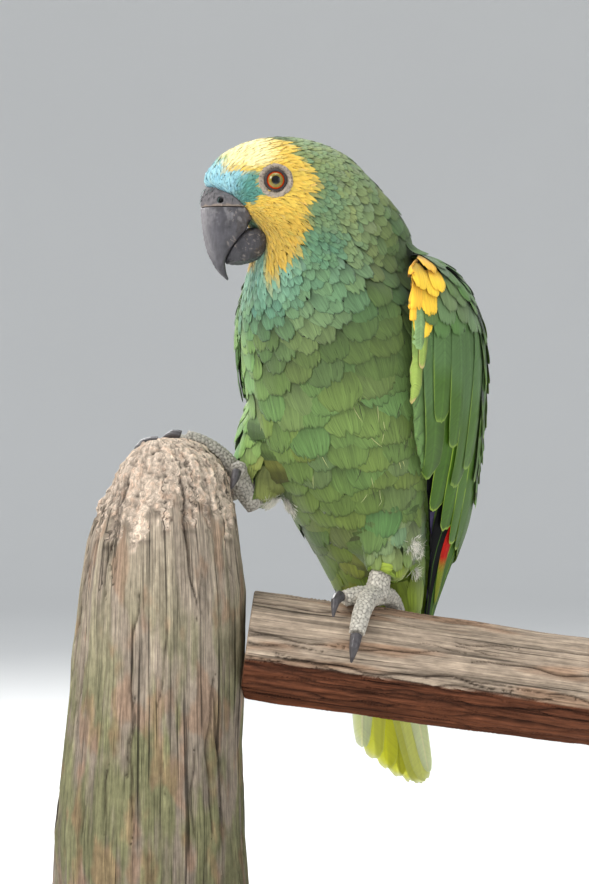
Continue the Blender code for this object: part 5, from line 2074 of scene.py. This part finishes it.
def make_floor(stage):
    """The round pale floor, which sweeps up into a wall on all sides."""
    start = FLOOR_REACH - FLOOR_CURVE
    profile = [(start, 0.0)]
    for k in range(1, CURVE_STEPS + 1):
        angle = math.pi / 2 * k / CURVE_STEPS
        profile.append((start + FLOOR_CURVE * math.sin(angle), FLOOR_CURVE - FLOOR_CURVE * math.cos(angle)))
    profile.append((FLOOR_REACH, WALL_TOP))
    around = [math.tau * t / FLOOR_TURNS for t in range(FLOOR_TURNS)]
    points = [(run * math.cos(turn), run * math.sin(turn), z) for run, z in profile for turn in around]
    faces = [tuple(range(FLOOR_TURNS))]
    for k in range(len(profile) - 1):
        low, high = k * FLOOR_TURNS, (k + 1) * FLOOR_TURNS
        for t in range(FLOOR_TURNS):
            after = (t + 1) % FLOOR_TURNS
            faces.append((low + t, high + t, high + after, low + after))
    mesh = bpy.data.meshes.new("floor")
    mesh.from_pydata(points, [], faces)
    mesh.materials.append(floor_material(stage.floor))
    mesh.shade_smooth()
    floor = bpy.data.objects.new("floor", mesh)
    bpy.context.scene.collection.objects.link(floor)


def make_lights(toward, across, seen_from):
    """Soft lights round the bird, and a small one placed so that its glint shows in the left eye."""
    target = (0.01, -0.02, 0.24)
    for name, ahead, aside, height, size, power, colour in (
        ("key", 0.72, -1.08, 1.1, 0.7, 15.5, (1, 0.985, 0.96)),
        ("fill", 1.0, 1.0, 0.55, 1.0, 3.8, (0.95, 0.98, 1)),
        ("sky", -0.2, 0.0, 1.5, 1.2, 11, (0.97, 0.99, 1)),
        ("rim", -0.8, -0.5, 0.9, 0.6, 9, (1, 1, 1)),
    ):
        spot = toward * ahead + across * aside + Vector((0, 0, height))
        area_light(name, spot, target, size, power, colour)
    low = area_light("low", toward * 0.8 + Vector((0, 0, 0.03)), (0.04, 0.03, 0.09), 0.4, 2.4, (1, 1, 0.98))
    low.visible_glossy = False
    eye = Vector(EYE_MIDDLES["left"])
    seen = (seen_from - eye).normalized()
    facing = (Vector(GAZES["left"]) + Vector(UP) * 0.62).normalized()
    glint = 2 * facing.dot(seen) * facing - seen
    area_light("glint", eye + glint * 0.9, eye, 0.09, 0.5)
    world = bpy.data.worlds.new("soft_room")
    world.use_nodes = True
    background = world.node_tree.nodes["Background"]
    background.inputs["Color"].default_value = (0.86, 0.9, 0.95, 1)
    background.inputs["Strength"].default_value = 0.55
    bpy.context.scene.world = world


def make_stage(stage):
    """The floor, the lights and the camera."""
    way = Vector((-math.sin(stage.azimuth), math.cos(stage.azimuth), 0))
    across = Vector((way.y, -way.x, 0))
    make_floor(stage)
    camera_data = bpy.data.cameras.new("camera")
    camera_data.lens, camera_data.sensor_width = stage.lens, 36
    camera = bpy.data.objects.new("camera", camera_data)
    camera.location = way * -stage.distance + Vector((0, 0, stage.height))
    camera.rotation_euler = way.to_track_quat("-Z", "Y").to_euler()
    bpy.context.scene.collection.objects.link(camera)
    bpy.context.scene.camera = camera
    bpy.context.scene.view_settings.view_transform = "Standard"
    make_lights(-way, across, camera.location)


# Operators and panel


class PARROT_OT_skin(bpy.types.Operator):
    """Fuse the body's solids into one skin under the coat"""

    bl_idname = "parrot.skin"
    bl_label = "Skin"

    def execute(self, context):
        make_skin(context.scene.parrot_coat)
        return {"FINISHED"}


class PARROT_OT_body_coat(bpy.types.Operator):
    """Lay the feathers of the head, neck, breast, belly, back and thighs"""

    bl_idname = "parrot.body_coat"
    bl_label = "Body Feathers"

    def execute(self, context):
        make_body_coat(context.scene.parrot_coat, seeded("body"))
        return {"FINISHED"}


class PARROT_OT_wings(bpy.types.Operator):
    """Lay the coverts and flight feathers of both wings"""

    bl_idname = "parrot.wings"
    bl_label = "Wing Feathers"

    def execute(self, context):
        make_wings(context.scene.parrot_coat, seeded("wings"))
        return {"FINISHED"}


class PARROT_OT_tail(bpy.types.Operator):
    """Fan out the tail feathers"""

    bl_idname = "parrot.tail"
    bl_label = "Tail Feathers"

    def execute(self, context):
        make_tail(context.scene.parrot_coat, seeded("tail"))
        return {"FINISHED"}


class PARROT_OT_eyes(bpy.types.Operator):
    """Make the eyeballs, lids and bare rings of skin"""

    bl_idname = "parrot.eyes"
    bl_label = "Eyes"

    def execute(self, context):
        for name in SIDES:
            make_eyeball(name, context.scene.parrot_horn)
            make_eyelids(name, context.scene.parrot_coat, context.scene.parrot_horn)
        return {"FINISHED"}


class PARROT_OT_bill(bpy.types.Operator):
    """Make the bill, the cere with its nostrils and the bristles"""

    bl_idname = "parrot.bill"
    bl_label = "Bill"

    def execute(self, context):
        make_bill(context.scene.parrot_horn)
        make_cere(context.scene.parrot_coat, context.scene.parrot_horn, seeded("bill"))
        return {"FINISHED"}


class PARROT_OT_feet(bpy.types.Operator):
    """Make the scaly feet and their claws"""

    bl_idname = "parrot.feet"
    bl_label = "Feet"

    def execute(self, context):
        make_feet(context.scene.parrot_horn, seeded("feet"))
        return {"FINISHED"}


class PARROT_OT_perch(bpy.types.Operator):
    """Carve the post and rail, and finish the stand"""

    bl_idname = "parrot.perch"
    bl_label = "Perch and Stand"

    def execute(self, context):
        make_post(context.scene.parrot_perch)
        make_rail(context.scene.parrot_perch)
        finish_stand(context.scene.parrot_perch)
        return {"FINISHED"}


class PARROT_OT_stage(bpy.types.Operator):
    """Set the floor, lights and camera"""

    bl_idname = "parrot.stage"
    bl_label = "Stage"

    def execute(self, context):
        make_stage(context.scene.parrot_stage)
        return {"FINISHED"}


STEPS = (
    PARROT_OT_skin, PARROT_OT_body_coat, PARROT_OT_wings, PARROT_OT_tail, PARROT_OT_eyes, PARROT_OT_bill,
    PARROT_OT_feet, PARROT_OT_perch, PARROT_OT_stage,
)
SETTINGS = {
    "parrot_coat": CoatSettings,
    "parrot_horn": HornSettings,
    "parrot_perch": PerchSettings,
    "parrot_stage": StageSettings,
}


class PARROT_PT_maker(bpy.types.Panel):
    """Lists the parrot's pieces and their settings"""

    bl_label = "Amazon Parrot"
    bl_idname = "PARROT_PT_maker"
    bl_space_type = "VIEW_3D"
    bl_region_type = "UI"
    bl_category = "Parrot"

    def draw(self, context):
        for operator in STEPS:
            self.layout.operator(operator.bl_idname)
        for name in SETTINGS:
            settings = getattr(context.scene, name)
            box = self.layout.box()
            for key in settings.__annotations__:
                box.prop(settings, key)


def register():
    for settings in SETTINGS.values():
        bpy.utils.register_class(settings)
    for operator in STEPS:
        bpy.utils.register_class(operator)
    bpy.utils.register_class(PARROT_PT_maker)
    for name, settings in SETTINGS.items():
        setattr(bpy.types.Scene, name, bpy.props.PointerProperty(type=settings))


def unregister():
    for name in SETTINGS:
        delattr(bpy.types.Scene, name)
    bpy.utils.unregister_class(PARROT_PT_maker)
    for operator in reversed(STEPS):
        bpy.utils.unregister_class(operator)
    for settings in SETTINGS.values():
        bpy.utils.unregister_class(settings)


def corners(box):
    return [list(box[0]), list(box[1])]


def main():
    """Builds every piece in order."""
    register()
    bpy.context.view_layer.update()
    for run in (
        bpy.ops.parrot.skin, bpy.ops.parrot.body_coat, bpy.ops.parrot.wings, bpy.ops.parrot.tail,
        bpy.ops.parrot.eyes, bpy.ops.parrot.bill, bpy.ops.parrot.feet, bpy.ops.parrot.perch,
        bpy.ops.parrot.stage,
    ):
        run()


if __name__ == "__main__":
    main()
